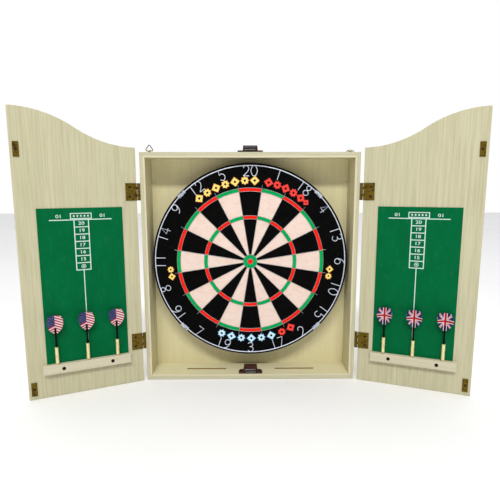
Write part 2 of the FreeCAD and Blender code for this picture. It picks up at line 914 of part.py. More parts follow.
def door_panel():
    """Foil-wrapped board. Its top is an ogee of two equal tangent arcs, highest at the free edge."""
    low_top = half_height + door_rise_at_hinge
    high_top = half_height + door_rise_at_free_edge
    half_run = (door_far_edge - door_near_edge) / 2
    half_rise = (high_top - low_top) / 2
    radius = (half_run**2 + half_rise**2) / (2 * half_rise)
    half_arc = math.asin(half_run / radius) / 2
    over = radius * math.sin(half_arc)
    up = radius * (1 - math.cos(half_arc))
    outer = -door_thickness
    foot_near = on_door(door_near_edge, outer, door_bottom_z)
    foot_far = on_door(door_far_edge, outer, door_bottom_z)
    peak = on_door(door_far_edge, outer, high_top)
    dip = on_door(door_near_edge, outer, low_top)
    inflection = on_door(door_near_edge + half_run, outer, low_top + half_rise)
    crest = on_door(door_far_edge - over, outer, high_top - up)
    hollow = on_door(door_near_edge + over, outer, low_top + up)
    outline = Part.Wire(
        [
            Part.makeLine(foot_near, foot_far),
            Part.makeLine(foot_far, peak),
            Part.Arc(peak, crest, inflection).toShape(),
            Part.Arc(inflection, hollow, dip).toShape(),
            Part.makeLine(dip, foot_near),
        ]
    )
    panel = Part.Face(outline).extrude(vec(0, door_thickness, 0))
    fixings = (
        (small_screw, leaf_thickness, door_leaf_screw_seats()),
        (strike_screw, strike_thickness, strike_centres()),
        (rail_screw, rail_depth, rail_screw_seats()),
    )
    holes = [
        screw_hole(kind, seat, Y_AXIS, through + kind["length"])
        for kind, through, seats in fixings
        for seat in seats
    ]
    return panel.cut(group(holes))


def scoreboard():
    """Thin painted sheet glued to the door above the rail."""
    top = half_height + door_rise_at_hinge - scoreboard_top_margin
    return door_block(
        door_near_edge + scoreboard_hinge_margin, door_far_edge - scoreboard_free_margin,
        0, scoreboard_thickness,
        rail_top_z, top,
    )


def dart_places():
    """Distance of each dart from the hinge pin."""
    middle = (darts_per_door - 1) / 2
    return [rail_centre + (index - middle) * dart_pitch for index in range(darts_per_door)]


def dart_rail():
    """Wooden strip with a hole down through it for each dart's point, and two screws."""
    rail = door_block(rail_near, rail_far, 0, rail_depth, rail_bottom_z, rail_top_z)
    holes = [
        rod(on_door(place, dart_offset, rail_bottom_z), Z_AXIS, rail_height, point_hole_radius)
        for place in dart_places()
    ]
    holes += [screw_hole(rail_screw, seat, Y_AXIS, rail_depth) for seat in rail_screw_seats()]
    return rail.cut(group(holes))


def rail_screws():
    return group([screw(rail_screw, seat, Y_AXIS, rail_depth) for seat in rail_screw_seats()])


def strike_plates():
    plates = []
    for centre in strike_centres():
        plate = block(
            centre.x - strike_width / 2, centre.x + strike_width / 2,
            centre.y - strike_thickness, centre.y,
            centre.z - strike_height / 2, centre.z + strike_height / 2,
        )
        plates.append(plate.cut(screw_hole(small_screw, centre, Y_AXIS, strike_thickness)))
    return group(plates)


def brass_screws():
    """The small screws of one door: hinge leaves and strike plates."""
    hinge = [screw(small_screw, seat, Y_AXIS, leaf_thickness) for seat in door_leaf_screw_seats()]
    strike = [screw(strike_screw, seat, Y_AXIS, strike_thickness) for seat in strike_centres()]
    return group(hinge + strike)


def hinge_door_leaf(centre):
    """Leaf on the door's inner face. It carries the second and fourth knuckles."""
    bottom, top = centre - hinge_height / 2, centre + hinge_height / 2
    pieces = [door_block(leaf_start, leaf_reach, 0, leaf_thickness, bottom, top)]
    for start, length in knuckle_spans(centre)[1::2]:
        pieces.append(rod(on_door(0, 0, start), Z_AXIS, length, knuckle_radius))
        pieces.append(door_block(0, leaf_start, 0, leaf_thickness, start, start + length))
    leaf = fused(pieces)
    bore = pin_radius + pin_running_clearance
    leaf = leaf.cut(rod(on_door(0, 0, bottom), Z_AXIS, hinge_height, bore))
    holes = [
        screw_hole(small_screw, seat, Y_AXIS, leaf_thickness)
        for seat in door_leaf_screw_seats()
        if bottom < seat.z < top
    ]
    return leaf.cut(group(holes))


def hinge_door_leaves():
    return group([hinge_door_leaf(centre) for centre in hinge_centres])


# ---------------------------------------------------------------- darts, built upright with the nose at z 0


def dart_barrel():
    """Turned brass grip with a nose cone and ring grooves, and the steel point pressed into it."""
    profile = [(0, 0), (barrel_nose_radius, 0), (barrel_radius, barrel_nose_length)]
    first = (barrel_length + barrel_nose_length - grip_groove_pitch * grip_groove_count) / 2
    for index in range(grip_groove_count):
        low = first + index * grip_groove_pitch
        floor = barrel_radius - grip_groove_depth
        high = low + grip_groove_pitch / 3
        profile += [(barrel_radius, low), (floor, low), (floor, high), (barrel_radius, high)]
    profile += [(barrel_radius, barrel_length), (0, barrel_length)]
    outline = Part.makePolygon([vec(radius, 0, z) for radius, z in profile + profile[:1]])
    barrel = Part.Face(outline).revolve(vec(0, 0, 0), Z_AXIS, 360)
    barrel = barrel.cut(rod(vec(0, 0, 0), Z_AXIS, point_socket, point_radius))
    thread_floor = barrel_length - shaft_spigot_length
    barrel = barrel.cut(rod(vec(0, 0, thread_floor), Z_AXIS, shaft_spigot_length, shaft_spigot_radius))
    straight = point_length - point_taper + point_socket
    wire = rod(vec(0, 0, point_socket), vec(0, 0, -1), straight, point_radius)
    tip = Part.makeCone(
        point_radius, point_radius * 0.2, point_taper, vec(0, 0, point_taper - point_length), vec(0, 0, -1)
    )
    return group([barrel, fused([wire, tip])])


def wing_plates(thickness, height):
    """Four plates from the dart's axis out to the flight's edge, at the angles the wings take."""
    plates = []
    for degrees in (flight_wing_degrees, -flight_wing_degrees):
        plate = block(
            -flight_half_span, flight_half_span, -thickness / 2, thickness / 2, 0, height
        )
        plate.rotate(vec(0, 0, 0), Z_AXIS, degrees)
        plates.append(plate)
    return plates


def dart_shaft():
    """Nylon shaft: a threaded end in the barrel and a slit end that grips the flight."""
    stem = rod(vec(0, 0, barrel_length), Z_AXIS, shaft_length, shaft_radius)
    spigot = rod(vec(0, 0, barrel_length), vec(0, 0, -1), shaft_spigot_length, shaft_spigot_radius)
    shaft = fused([stem, spigot])
    slit_floor = barrel_length + shaft_length - flight_grip
    for plate in wing_plates(flight_thickness + 2 * flight_slit_clearance, flight_grip):
        plate.translate(vec(0, 0, slit_floor))
        shaft = shaft.cut(plate)
    return shaft


def dart_flight():
    """Folded sheet flight with four wings, pressed flatter than square by the door behind it."""
    core = shaft_radius * 0.8
    shoulder = flight_height * 0.72
    half = [
        vec(core, 0, 0),
        vec(flight_half_span, 0, flight_height * 0.46),
        vec(flight_half_span, 0, shoulder),
        vec(flight_half_span * 0.82, 0, flight_height * 0.93),
        vec(flight_half_span * 0.45, 0, flight_height),
    ]
    other = [vec(-point.x, 0, point.z) for point in reversed(half)]
    lines = [Part.makeLine(half[0], half[1]), Part.makeLine(half[1], half[2])]
    lines.append(Part.Arc(half[2], half[3], half[4]).toShape())
    lines.append(Part.makeLine(half[4], other[0]))
    lines.append(Part.Arc(other[0], other[1], other[2]).toShape())
    lines += [Part.makeLine(other[2], other[3]), Part.makeLine(other[3], other[4])]
    lines.append(Part.makeLine(other[4], half[0]))
    sheet = Part.Face(Part.Wire(lines)).extrude(vec(0, flight_thickness, 0))
    sheet.translate(vec(0, -flight_thickness / 2, barrel_length + shaft_length - flight_grip))
    pair = []
    for degrees in (flight_wing_degrees, -flight_wing_degrees):
        wing = sheet.copy()
        wing.rotate(vec(0, 0, 0), Z_AXIS, degrees)
        pair.append(wing)
    return pair[0].fuse(pair[1])


def in_rail(shape, place):
    """Stands a dart in its rail hole, leaning off the door about the middle of the hole."""
    stood = shape.copy()
    stood.translate(on_door(place, dart_offset, rail_top_z + dart_seat_gap))
    pivot = on_door(place, dart_offset, (rail_bottom_z + rail_top_z) / 2)
    stood.rotate(pivot, X_AXIS, -dart_lean_degrees)
    return stood


# ---------------------------------------------------------------- every node


def cabinet_nodes():
    return {
        "top_panel": top_panel(),
        "bottom_panel": bottom_panel(),
        "left_side_panel": side_panel("left"),
        "right_side_panel": side_panel("right"),
        "back_panel": back_panel(),
        "upper_catch_housing": catch_housing(catch_bases_z[1]),
        "lower_catch_housing": catch_housing(catch_bases_z[0]),
        "catch_pole_plates": catch_pole_plates(),
        "catch_magnets": catch_magnets(),
        "catch_screws": catch_screws(),
        "hanger_straps": hanger_straps(),
        "hanger_screws": hanger_screws(),
        "left_hanger_ring": hanger_ring("left"),
        "right_hanger_ring": hanger_ring("right"),
        "board_bracket": board_bracket(),
        "bracket_screws": bracket_screws(),
        "hinge_cabinet_leaves": hinge_cabinet_leaves(),
        "hinge_pins": hinge_pins(),
        "hinge_cabinet_screws": hinge_cabinet_screws(),
    }


def board_nodes():
    return {
        "hanging_screw": hanging_screw(),
        "board_backing": board_backing(),
        "board_sisal": board_sisal(),
        "board_rim_band": board_rim_band(),
        "board_spider": board_spider(),
        "board_rest_pads": board_rest_pads(),
        "number_ring_clips": number_ring_clips(),
        "number_ring": number_ring(),
    }


def door_nodes():
    """Both doors with their darts. Darts are numbered from the hinge outwards."""
    pieces = {
        "door_panel": door_panel(),
        "scoreboard": scoreboard(),
        "dart_rail": dart_rail(),
        "rail_screws": rail_screws(),
        "strike_plates": strike_plates(),
        "hinge_leaves": hinge_door_leaves(),
        "brass_screws": brass_screws(),
    }
    dart = {"barrel": dart_barrel(), "shaft": dart_shaft(), "flight": dart_flight()}
    for index, place in enumerate(dart_places(), start=1):
        for name, shape in dart.items():
            pieces[f"dart_{index}_{name}"] = in_rail(shape, place)
    return {f"{side}_{name}": hung(shape, side) for side in SIDES for name, shape in pieces.items()}


def main():
    os.makedirs("parts", exist_ok=True)
    nodes = {**cabinet_nodes(), **board_nodes(), **door_nodes()}
    for name, shape in nodes.items():
        shape.exportStep(os.path.join("parts", f"{name}.step"))
    print(f"{len(nodes)} nodes, cabinet {cabinet_width:.1f} x {cabinet_depth:.1f} x {cabinet_height:.1f} mm")


main()
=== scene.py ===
import json
import math

import bmesh
import bpy
from mathutils import Matrix, Vector

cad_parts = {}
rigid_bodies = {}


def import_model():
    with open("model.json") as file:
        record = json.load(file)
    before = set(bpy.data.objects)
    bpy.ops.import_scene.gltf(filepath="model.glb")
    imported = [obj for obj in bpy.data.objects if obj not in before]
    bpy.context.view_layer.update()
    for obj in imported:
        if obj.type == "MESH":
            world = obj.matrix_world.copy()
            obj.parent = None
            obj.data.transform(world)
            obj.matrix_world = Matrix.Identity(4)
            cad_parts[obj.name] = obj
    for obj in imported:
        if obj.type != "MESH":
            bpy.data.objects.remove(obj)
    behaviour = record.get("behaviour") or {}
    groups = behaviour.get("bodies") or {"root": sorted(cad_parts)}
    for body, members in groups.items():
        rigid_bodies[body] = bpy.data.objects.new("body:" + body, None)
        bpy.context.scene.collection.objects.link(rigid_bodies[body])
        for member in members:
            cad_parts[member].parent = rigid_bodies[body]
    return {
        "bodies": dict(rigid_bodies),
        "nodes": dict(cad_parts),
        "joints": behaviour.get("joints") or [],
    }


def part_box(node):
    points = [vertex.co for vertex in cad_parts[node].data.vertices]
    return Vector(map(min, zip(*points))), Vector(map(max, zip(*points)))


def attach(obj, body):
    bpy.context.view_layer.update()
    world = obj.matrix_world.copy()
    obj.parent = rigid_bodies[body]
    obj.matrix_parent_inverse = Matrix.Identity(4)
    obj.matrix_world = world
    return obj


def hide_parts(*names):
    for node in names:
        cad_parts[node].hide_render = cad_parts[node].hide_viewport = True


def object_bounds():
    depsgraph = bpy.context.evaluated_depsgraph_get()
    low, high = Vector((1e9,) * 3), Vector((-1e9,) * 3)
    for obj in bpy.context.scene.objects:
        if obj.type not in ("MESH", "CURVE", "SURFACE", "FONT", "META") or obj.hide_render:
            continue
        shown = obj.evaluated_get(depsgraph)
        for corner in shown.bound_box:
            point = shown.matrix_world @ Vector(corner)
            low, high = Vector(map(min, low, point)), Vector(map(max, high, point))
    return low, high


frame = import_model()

cad_low, cad_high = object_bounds()
scene = bpy.context.scene
MM = 0.001


# ---- Cabinet panels ---------------------------------------------------------------------------
# Four boards of pressed wood, wrapped in a printed pale-wood foil and glued at mitred corners.
# The foil folds over each edge, so every corner is a little round.


def tint(red, green, blue):
    """A colour given as screen values from 0 to 255, in linear light."""
    curve = (((c / 255 + 0.055) / 1.055) ** 2.4 if c > 10 else c / 255 / 12.92 for c in (red, green, blue))
    return (*curve, 1.0)


class Finish:
    """A surface finish while it is mixed: a material, its shader, and the patterns that feed it."""

    def __init__(self, name, roughness, metallic=0.0, gloss=0.5):
        self.material = bpy.data.materials.new(name)
        self.material.use_nodes = True
        self.tree = self.material.node_tree
        self.shader = self.tree.nodes["Principled BSDF"]
        self.shader.inputs["Roughness"].default_value = roughness
        self.shader.inputs["Metallic"].default_value = metallic
        self.shader.inputs["Specular IOR Level"].default_value = gloss

    def step(self, kind, inputs=(), **settings):
        node = self.tree.nodes.new("ShaderNode" + kind)
        for key, value in settings.items():
            setattr(node, key, value)
        for key, value in dict(inputs).items():
            if isinstance(value, bpy.types.NodeSocket):
                self.tree.links.new(value, node.inputs[key])
            else:
                node.inputs[key].default_value = value
        return node

    def where(self, scale=(1, 1, 1), turn=(0, 0, 0), kind="Object"):
        """The point on the piece, turned square to it and then stretched by a scale for each axis."""
        spot = self.step("TexCoord").outputs[kind]
        if any(turn):
            spot = self.step("Mapping", {"Vector": spot, "Rotation": turn}).outputs["Vector"]
        return self.step("Mapping", {"Vector": spot, "Scale": scale}).outputs["Vector"]

    def clouds(self, scale, detail=4.0, roughness=0.55, turn=(0, 0, 0)):
        """Noise with features a metre over the scale across on each axis."""
        place = self.where(scale, turn)
        inputs = {"Vector": place, "Scale": 1.0, "Detail": detail, "Roughness": roughness}
        return self.step("TexNoise", inputs).outputs["Fac"]

    def ramp(self, value, stops):
        """Colours along a value from 0 to 1."""
        node = self.step("ValToRGB", {"Fac": value})
        band = node.color_ramp
        while len(band.elements) < len(stops):
            band.elements.new(0.5)
        for element, (position, colour) in zip(band.elements, stops):
            element.position = position
            element.color = colour
        return node.outputs["Color"]

    def spread(self, value, low, high, from_low=0.3, from_high=0.7):
        """Stretches the middle of a pattern to run from low to high."""
        inputs = {"Value": value, "From Min": from_low, "From Max": from_high, "To Min": low, "To Max": high}
        return self.step("MapRange", inputs).outputs["Result"]

    def maths(self, operation, first, second=0.0):
        return self.step("Math", {0: first, 1: second}, operation=operation).outputs["Value"]

    def mix(self, amount, first, second, blend="MIX"):
        inputs = {0: amount, 6: first, 7: second}
        return self.step("Mix", inputs, data_type="RGBA", blend_type=blend).outputs[2]

    def colour(self, socket):
        self.tree.links.new(socket, self.shader.inputs["Base Color"])

    def roughness(self, value, low, high):
        self.tree.links.new(self.spread(value, low, high), self.shader.inputs["Roughness"])

    def relief(self, height, depth, strength=0.5):
        """Bump of a given depth in millimetres."""
        inputs = {"Height": height, "Distance": depth * MM, "Strength": strength}
        self.tree.links.new(self.step("Bump", inputs).outputs["Normal"], self.shader.inputs["Normal"])


def coating(name, base, grain, detail, stops, shine=None, bump=None):
    """A material whose colour, shine and relief follow one pattern of clouds.

    The base is roughness, metallic share and gloss. A grain is one scale, or one for each axis. A bump is
    a depth in millimetres and a strength.
    """
    finish = Finish(name, *base)
    pattern = finish.clouds(grain if isinstance(grain, tuple) else (grain, grain, grain), detail)
    finish.colour(finish.ramp(pattern, [(position, tint(*shade)) for position, shade in stops]))
    if shine:
        finish.roughness(pattern, *shine)
    if bump:
        finish.relief(pattern, *bump)
    return finish.material


def foil(name, shades, along, turn=0.0, strength=1.0):
    """Printed wood grain that runs along one axis: soft bands, fine streaks and short pores."""
    finish = Finish(name, 0.5, gloss=0.25)
    pale, mid, deep = (tint(*shade) for shade in shades)

    def grain(across, lengthways, detail, roughness=0.55):
        scale = tuple(lengthways if axis == along else across for axis in range(3))
        return finish.clouds(scale, detail, roughness, (0, 0, turn))

    bands = grain(40, 0.8, 2.0)
    streaks = grain(300, 9.0, 4.0, 0.6)
    blush = grain(210, 5.0, 2.0)
    pores = grain(1300, 42, 2.0)
    ground = finish.ramp(bands, [(0.35, mid), (0.65, pale)])
    streaked = finish.mix(finish.spread(streaks, 0.0, 0.85 * strength, 0.42, 0.66), ground, deep)
    warmed = finish.mix(finish.spread(blush, 0.0, 0.32 * strength, 0.5, 0.72), streaked, tint(216, 200, 180))
    pored = finish.mix(finish.spread(pores, 0.0, 0.3 * strength, 0.6, 0.72), warmed, tint(164, 156, 118))
    finish.colour(pored)
    finish.roughness(streaks, 0.44, 0.58)
    finish.relief(pores, 0.06, 0.35)
    return finish.material


x_way, z_way = 0, 2
lip_shades = (222, 213, 182), (218, 209, 178), (206, 197, 165)
foil_upright = foil("panel_foil_upright", [(202, 197, 164), (197, 192, 158), (183, 178, 143)], z_way)
foil_across = foil("panel_foil_across", [(202, 198, 168), (198, 194, 163), (187, 182, 150)], x_way)
# The boards' inside faces take a brighter, yellower copy of the same foil: painted warm bounce light from
# inside the cabinet.
inner_bounce_lit_upright = foil(
    "inner_foil_painted_bounce_upright", [(216, 208, 166), (211, 203, 160), (198, 190, 148)], z_way, strength=0.7
)
inner_bounce_lit_across = foil(
    "inner_foil_painted_bounce_across", [(226, 219, 180), (222, 214, 174), (210, 203, 164)], x_way, strength=0.7
)
lip_upright = foil("lip_foil_upright", lip_shades, z_way, strength=0.6)
lip_across = foil("lip_foil_across", lip_shades, x_way, strength=0.6)


def slab(outline, front, back):
    """A flat board from an outline of (x, z) points, between two depths."""
    board = bmesh.new()
    near = [board.verts.new((x, front, z)) for x, z in outline]
    far = [board.verts.new((x, back, z)) for x, z in outline]
    board.faces.new(near)
    board.faces.new(reversed(far))
    for index in range(len(outline)):
        after = (index + 1) % len(outline)
        board.faces.new((near[after], near[index], far[index], far[after]))
    return board


def brick(low, high):
    """A rectangular block between two corners."""
    return slab([(low[0], low[2]), (high[0], low[2]), (high[0], high[2]), (low[0], high[2])], low[1], high[1])


def assembled(*parts):
    """Several meshes as one."""
    whole = bmesh.new()
    for part in parts:
        carrier = bpy.data.meshes.new("carrier")
        part.to_mesh(carrier)
        part.free()
        whole.from_mesh(carrier)
        bpy.data.meshes.remove(carrier)
    return whole


def placed(part, place):
    part.transform(place)
    return part


def made_solid(part):
    bmesh.ops.recalc_face_normals(part, faces=part.faces)
    return part


def workpiece(part):
    """A mesh on the bench, as an object that a tool can be used on."""
    carrier = bpy.data.meshes.new("workpiece")
    made_solid(part).to_mesh(carrier)
    part.free()
    piece = bpy.data.objects.new("workpiece", carrier)
    scene.collection.objects.link(piece)
    return piece


def cleared(piece):
    """Takes an object and its data off the bench."""
    carrier = piece.data
    bpy.data.objects.remove(piece)
    store = bpy.data.meshes if isinstance(carrier, bpy.types.Mesh) else bpy.data.curves
    store.remove(carrier)


def taken_off(piece):
    """The finished mesh of a workpiece, which is then cleared away."""
    view = bpy.context.evaluated_depsgraph_get()
    result = bpy.data.meshes.new_from_object(piece.evaluated_get(view))
    shape = bmesh.new()
    shape.from_mesh(result)
    bpy.data.meshes.remove(result)
    cleared(piece)
    return shape


def cut_away(part, cutter):
    """A part with the shape of a cutter taken out of it."""
    work = workpiece(part)
    blade = workpiece(cutter)
    cut = work.modifiers.new("cut", "BOOLEAN")
    cut.operation = "DIFFERENCE"
    cut.solver = "EXACT"
    cut.use_self = True
    cut.object = blade
    shape = taken_off(work)
    cleared(blade)
    return shape


def finished(name, part, finishes, body, stands_for=(), ease=0.0, steps=2, turn=35):
    """Makes a mesh a finished piece: its skin, its eased edges, and the CAD body it moves with."""
    skin = bpy.data.meshes.new(name)
    made_solid(part).to_mesh(skin)
    part.free()
    for finish in finishes:
        skin.materials.append(finish)
    skin.shade_smooth()
    skin.set_sharp_from_angle(angle=math.radians(turn))
    piece = bpy.data.objects.new(name, skin)
    scene.collection.objects.link(piece)
    if ease:
        round_over = piece.modifiers.new("eased edges", "BEVEL")
        round_over.width = ease
        round_over.segments = steps
        round_over.limit_method = "ANGLE"
        round_over.angle_limit = math.radians(turn)
        round_over.use_clamp_overlap = False
        round_over.harden_normals = True
    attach(piece, body)
    if stands_for:
        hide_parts(*stands_for)
    return piece


def body_of(node):
    """The name of the CAD body that a node rides on."""
    carrier = frame["nodes"][node].parent
    return next(name for name, empty in frame["bodies"].items() if empty == carrier)


cabinet = body_of("top_panel")
panel_ease = 0.6 * MM
lip_width = 3.6 * MM
box_low, box_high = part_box("top_panel")
foot_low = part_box("bottom_panel")[0]
inside_low, inside_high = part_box("back_panel")


def mitred_board(outer, inner, inward):
    """One board from the ends of its outer and inner edges, its front's inner edge in a paler foil."""
    board = slab([outer[0], outer[1], inner[1], inner[0]], box_low.y, box_high.y)
    inner_face = Vector((inner[0][0], 0, inner[0][1]))
    cut = inner_face - inward * lip_width
    everything = board.verts[:] + board.edges[:] + board.faces[:]
    bmesh.ops.bisect_plane(board, geom=everything, plane_co=cut, plane_no=inward)
    bmesh.ops.recalc_face_normals(board, faces=board.faces)
    for face in board.faces:
        middle = face.calc_center_median()
        # Inward faces get the second foil, the copy with painted warm bounce light.
        if face.normal.dot(inward) > 0.99:
            face.material_index = 1
        elif face.normal.y < -0.9 and (middle - cut).dot(inward) > 0:
            face.material_index = 2
    return board


left_x, right_x, roof_z, ground_z = box_low.x, box_high.x, box_high.z, foot_low.z
in_left, in_right, in_roof, in_ground = inside_low.x, inside_high.x, inside_high.z, inside_low.z
across_foils = [foil_across, inner_bounce_lit_across, lip_across]
upright_foils = [foil_upright, inner_bounce_lit_upright, lip_upright]
outer_corners = {
    "left foot": (left_x, ground_z), "left top": (left_x, roof_z),
    "right foot": (right_x, ground_z), "right top": (right_x, roof_z),
}
inner_corners = {
    "left foot": (in_left, in_ground), "left top": (in_left, in_roof),
    "right foot": (in_right, in_ground), "right top": (in_right, in_roof),
}


def board_between(first, last, inward):
    """The board that runs from one corner of the box to another."""
    ends = [outer_corners[first], outer_corners[last]], [inner_corners[first], inner_corners[last]]
    return mitred_board(*ends, Vector(inward))


for name, first, last, inward, foils in (
    ("top", "left top", "right top", (0, 0, -1), across_foils),
    ("left_side", "left foot", "left top", (1, 0, 0), upright_foils),
    ("right_side", "right foot", "right top", (-1, 0, 0), upright_foils),
):
    board = board_between(first, last, inward)
    finished(f"{name}_board", board, foils, cabinet, [f"{name}_panel"], panel_ease, 3)


# ---- Bottom panel with its chalk grooves --------------------------------------------------------
# The lower board is like the others, with two round-ended grooves milled in its upper face
# for sticks of chalk. The cutter leaves bare brown fibreboard in them.

groove_x = 106.5 * MM
groove_length = 96 * MM
groove_width = 6.5 * MM
groove_depth = 3.5 * MM
groove_setback = 33 * MM

groove_wall = coating(
    "bare_fibreboard", (0.85, 0.0, 0.1), 900, 5.0, [(0.35, (134, 108, 58)), (0.65, (172, 146, 92))],
    bump=(0.15,),
)
onto_its_back = Matrix.Rotation(math.radians(90), 4, "X")


def round_ended(length, width, turns=12):
    """Outline of a slot with half-round ends, lying along x."""
    half = (length - width) / 2
    outline = []
    for centre, start in ((half, -90), (-half, 90)):
        for turn in range(turns + 1):
            angle = math.radians(start + 180 * turn / turns)
            outline.append((centre + width / 2 * math.cos(angle), width / 2 * math.sin(angle)))
    return outline


def groove_cutter(x):
    """The milling cutter's path, standing up from the groove's floor."""
    cutter = slab(round_ended(groove_length, groove_width), -groove_depth, groove_depth)
    spot = Vector((x, foot_low.y + groove_setback, inside_low.z))
    return placed(cutter, Matrix.Translation(spot) @ onto_its_back)


bottom_board = board_between("left foot", "right foot", (0, 0, 1))
bottom_board = cut_away(bottom_board, assembled(groove_cutter(-groove_x), groove_cutter(groove_x)))
groove_floor_z = in_ground - groove_depth
hair = 0.1 * MM
for face in bottom_board.faces:
    middle = face.calc_center_median()
    along_groove = abs(abs(middle.x) - groove_x) < groove_length / 2 + MM
    across_groove = abs(middle.y - foot_low.y - groove_setback) < groove_width
    below_top = in_ground - hair > middle.z >= groove_floor_z - hair
    if along_groove and across_groove and below_top:
        face.material_index = 3
finished(
    "bottom_board", bottom_board, [*across_foils, groove_wall], cabinet,
    ["bottom_panel"], 0.5 * MM, 2,
)


# ---- Back panel -----------------------------------------------------------------------------------
# A thin board set between the four outer boards, flush with their rear edges. Its foil is
# a warmer print, with the grain upright.

back_foil = foil(
    "back_panel_foil", [(228, 219, 176), (223, 213, 168), (212, 203, 157)], z_way, strength=0.5
)
finished(
    "back_board", brick(inside_low, inside_high), [back_foil], cabinet, ["back_panel"],
    0.3 * MM,
)


# ---- Magnetic catches -----------------------------------------------------------------------------
# Each is a moulded dark brown housing on a flange with rounded rear corners, with two bright steel
# pole plates that stick out in front of a magnet. One stands on the cabinet, one inside it.


def solids_in(node, place=Matrix()):
    """Corners of a CAD node's separate solids, in a place's own frame, left to right and foot first."""
    loose = bmesh.new()
    loose.from_mesh(frame["nodes"][node].data)
    bmesh.ops.remove_doubles(loose, verts=loose.verts, dist=1e-6)
    loose.transform(place.inverted())
    loose.verts.index_update()
    waiting = {vert.index: vert for vert in loose.verts}
    found = []
    while waiting:
        reached = [waiting.pop(next(iter(waiting)))]
        for vert in reached:
            for edge in vert.link_edges:
                other = edge.other_vert(vert)
                if other.index in waiting:
                    reached.append(waiting.pop(other.index))
        low = Vector([min(vert.co[axis] for vert in reached) for axis in range(3)])
        high = Vector([max(vert.co[axis] for vert in reached) for axis in range(3)])
        found.append((low, high))
    loose.free()
    return sorted(found, key=lambda box: tuple(round(value, 5) for value in box[0]))


flange_depth = 20 * MM
flange_thickness = 3.5 * MM
flange_corner = 8 * MM
housing_half_width = 17 * MM
housing_taper = 1.5 * MM
housing_slope = 0.5 * MM
mouth_side_room, mouth_height_room, mouth_depth = 0.5 * MM, 0.35 * MM, 1.2 * MM

catch_plastic = Finish("catch_plastic", 0.4, gloss=0.35)
mould = catch_plastic.clouds((900, 900, 900), detail=3.0)
wear = catch_plastic.clouds((90, 90, 90), detail=4.0)
catch_plastic.colour(catch_plastic.ramp(wear, [(0.35, tint(46, 20, 18)), (0.65, tint(74, 34, 28))]))
catch_plastic.roughness(wear, 0.3, 0.45)
catch_plastic.relief(mould, 0.05, 0.4)

pole_steel = coating(
    "pole_steel", (0.3, 1.0), (60, 2500, 2500), 3.0, [(0.3, (126, 124, 122)), (0.7, (168, 164, 160))],
    (0.22, 0.42), (0.03, 0.4),
)


def flange(low, high):
    """The flat foot, its two rear corners rounded."""
    bend_y = low.y + flange_depth - flange_corner
    outline = [(low.x, low.y), (high.x, low.y)]
    for corner, start in ((high.x - flange_corner, 0), (low.x + flange_corner, 90)):
        for turn in range(9):
            angle = math.radians(start + 90 * turn / 8)
            across, back = flange_corner * math.cos(angle), flange_corner * math.sin(angle)
            outline.append((corner + across, bend_y + back))
    foot = slab(outline, 0, flange_thickness)
    upright = Matrix(((1, 0, 0, 0), (0, 0, 1, 0), (0, 1, 0, low.z), (0, 0, 0, 1)))
    return placed(foot, upright)


pole_boxes = solids_in("catch_pole_plates")
pole_groups = {
    "lower": [box for box in pole_boxes if box[0].z < 0],
    "upper": [box for box in pole_boxes if box[0].z > 0],
}
for level, plates in pole_groups.items():
    low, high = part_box(f"{level}_catch_housing")
    block = brick(
        Vector((-housing_half_width, low.y, low.z + 0.4 * MM)), Vector((housing_half_width, high.y, high.z))
    )
    for vert in block.verts:
        if vert.co.z > low.z + 2 * MM:
            vert.co.x -= math.copysign(housing_taper, vert.co.x)
            vert.co.y -= housing_slope if vert.co.y > low.y + MM else 0.0
    plate_low, plate_high = plates[0]
    mouth_foot = min(plate[0].z for plate in plates) - mouth_height_room
    mouth_head = max(plate[1].z for plate in plates) + mouth_height_room
    mouth_low = Vector((plate_low.x - mouth_side_room, low.y - MM, mouth_foot))
    mouth_high = Vector((plate_high.x + mouth_side_room, low.y + mouth_depth, mouth_head))
    block = cut_away(block, brick(mouth_low, mouth_high))
    finished(
        f"{level}_catch", assembled(flange(low, high), block), [catch_plastic.material], cabinet,
        [f"{level}_catch_housing"], 0.9 * MM, 3,
    )

finished(
    "catch_poles", assembled(*[brick(low, high) for low, high in pole_boxes]), [pole_steel],
    cabinet, ["catch_pole_plates"], 0.25 * MM,
)



def refinished(material, *nodes):
    """Gives CAD nodes, whose shape is right as it is, a finish."""
    for node in nodes:
        frame["nodes"][node].material_slots[0].material = material


magnet_ferrite = coating(
    "magnet_ferrite", (0.6,), 1400, 4.0, [(0.3, (30, 30, 32)), (0.7, (58, 57, 56))], bump=(0.08,)
)
refinished(magnet_ferrite, "catch_magnets")


# ---- Hangers ----------------------------------------------------------------------------------------
# A folded steel strap is screwed to the rear edge of each side board, with its loop just above
# the top. A wire triangle swings in the loop and goes over a hook in the wall.

hanger_steel = coating(
    "hanger_steel", (0.34, 1.0), 260, 5.0,
    [(0.3, (70, 68, 62)), (0.5, (104, 102, 96)), (0.7, (138, 136, 128))], (0.26, 0.5), (0.05, 0.4),
)
strap_brass = coating(
    "strap_brass", (0.32, 1.0), 260, 5.0, [(0.3, (150, 132, 84)), (0.7, (206, 192, 146))],
    (0.26, 0.48), (0.04, 0.4),
)
refinished(strap_brass, "hanger_straps")
refinished(hanger_steel, "left_hanger_ring", "right_hanger_ring")


# ---- Board bracket --------------------------------------------------------------------------------
# A pressed steel bracket on the back board. The hanging screw's head drops into its open slot.

bracket_steel = Finish("bracket_steel", 0.42, 1.0)
spangle = bracket_steel.step("TexVoronoi", {"Vector": bracket_steel.where((240, 240, 240)), "Scale": 1.0})
bracket_steel.colour(
    bracket_steel.ramp(spangle.outputs["Distance"], [(0.0, tint(150, 153, 156)), (0.8, tint(190, 192, 194))])
)
bracket_steel.relief(bracket_steel.clouds((500, 500, 500)), 0.04)
refinished(bracket_steel.material, "board_bracket", "hanging_screw")


# ---- Screws -----------------------------------------------------------------------------------------
# Small cross-head wood screws hold everything. One is turned and its cross is punched, and
# then each group is set in place, every screw left at its own angle.


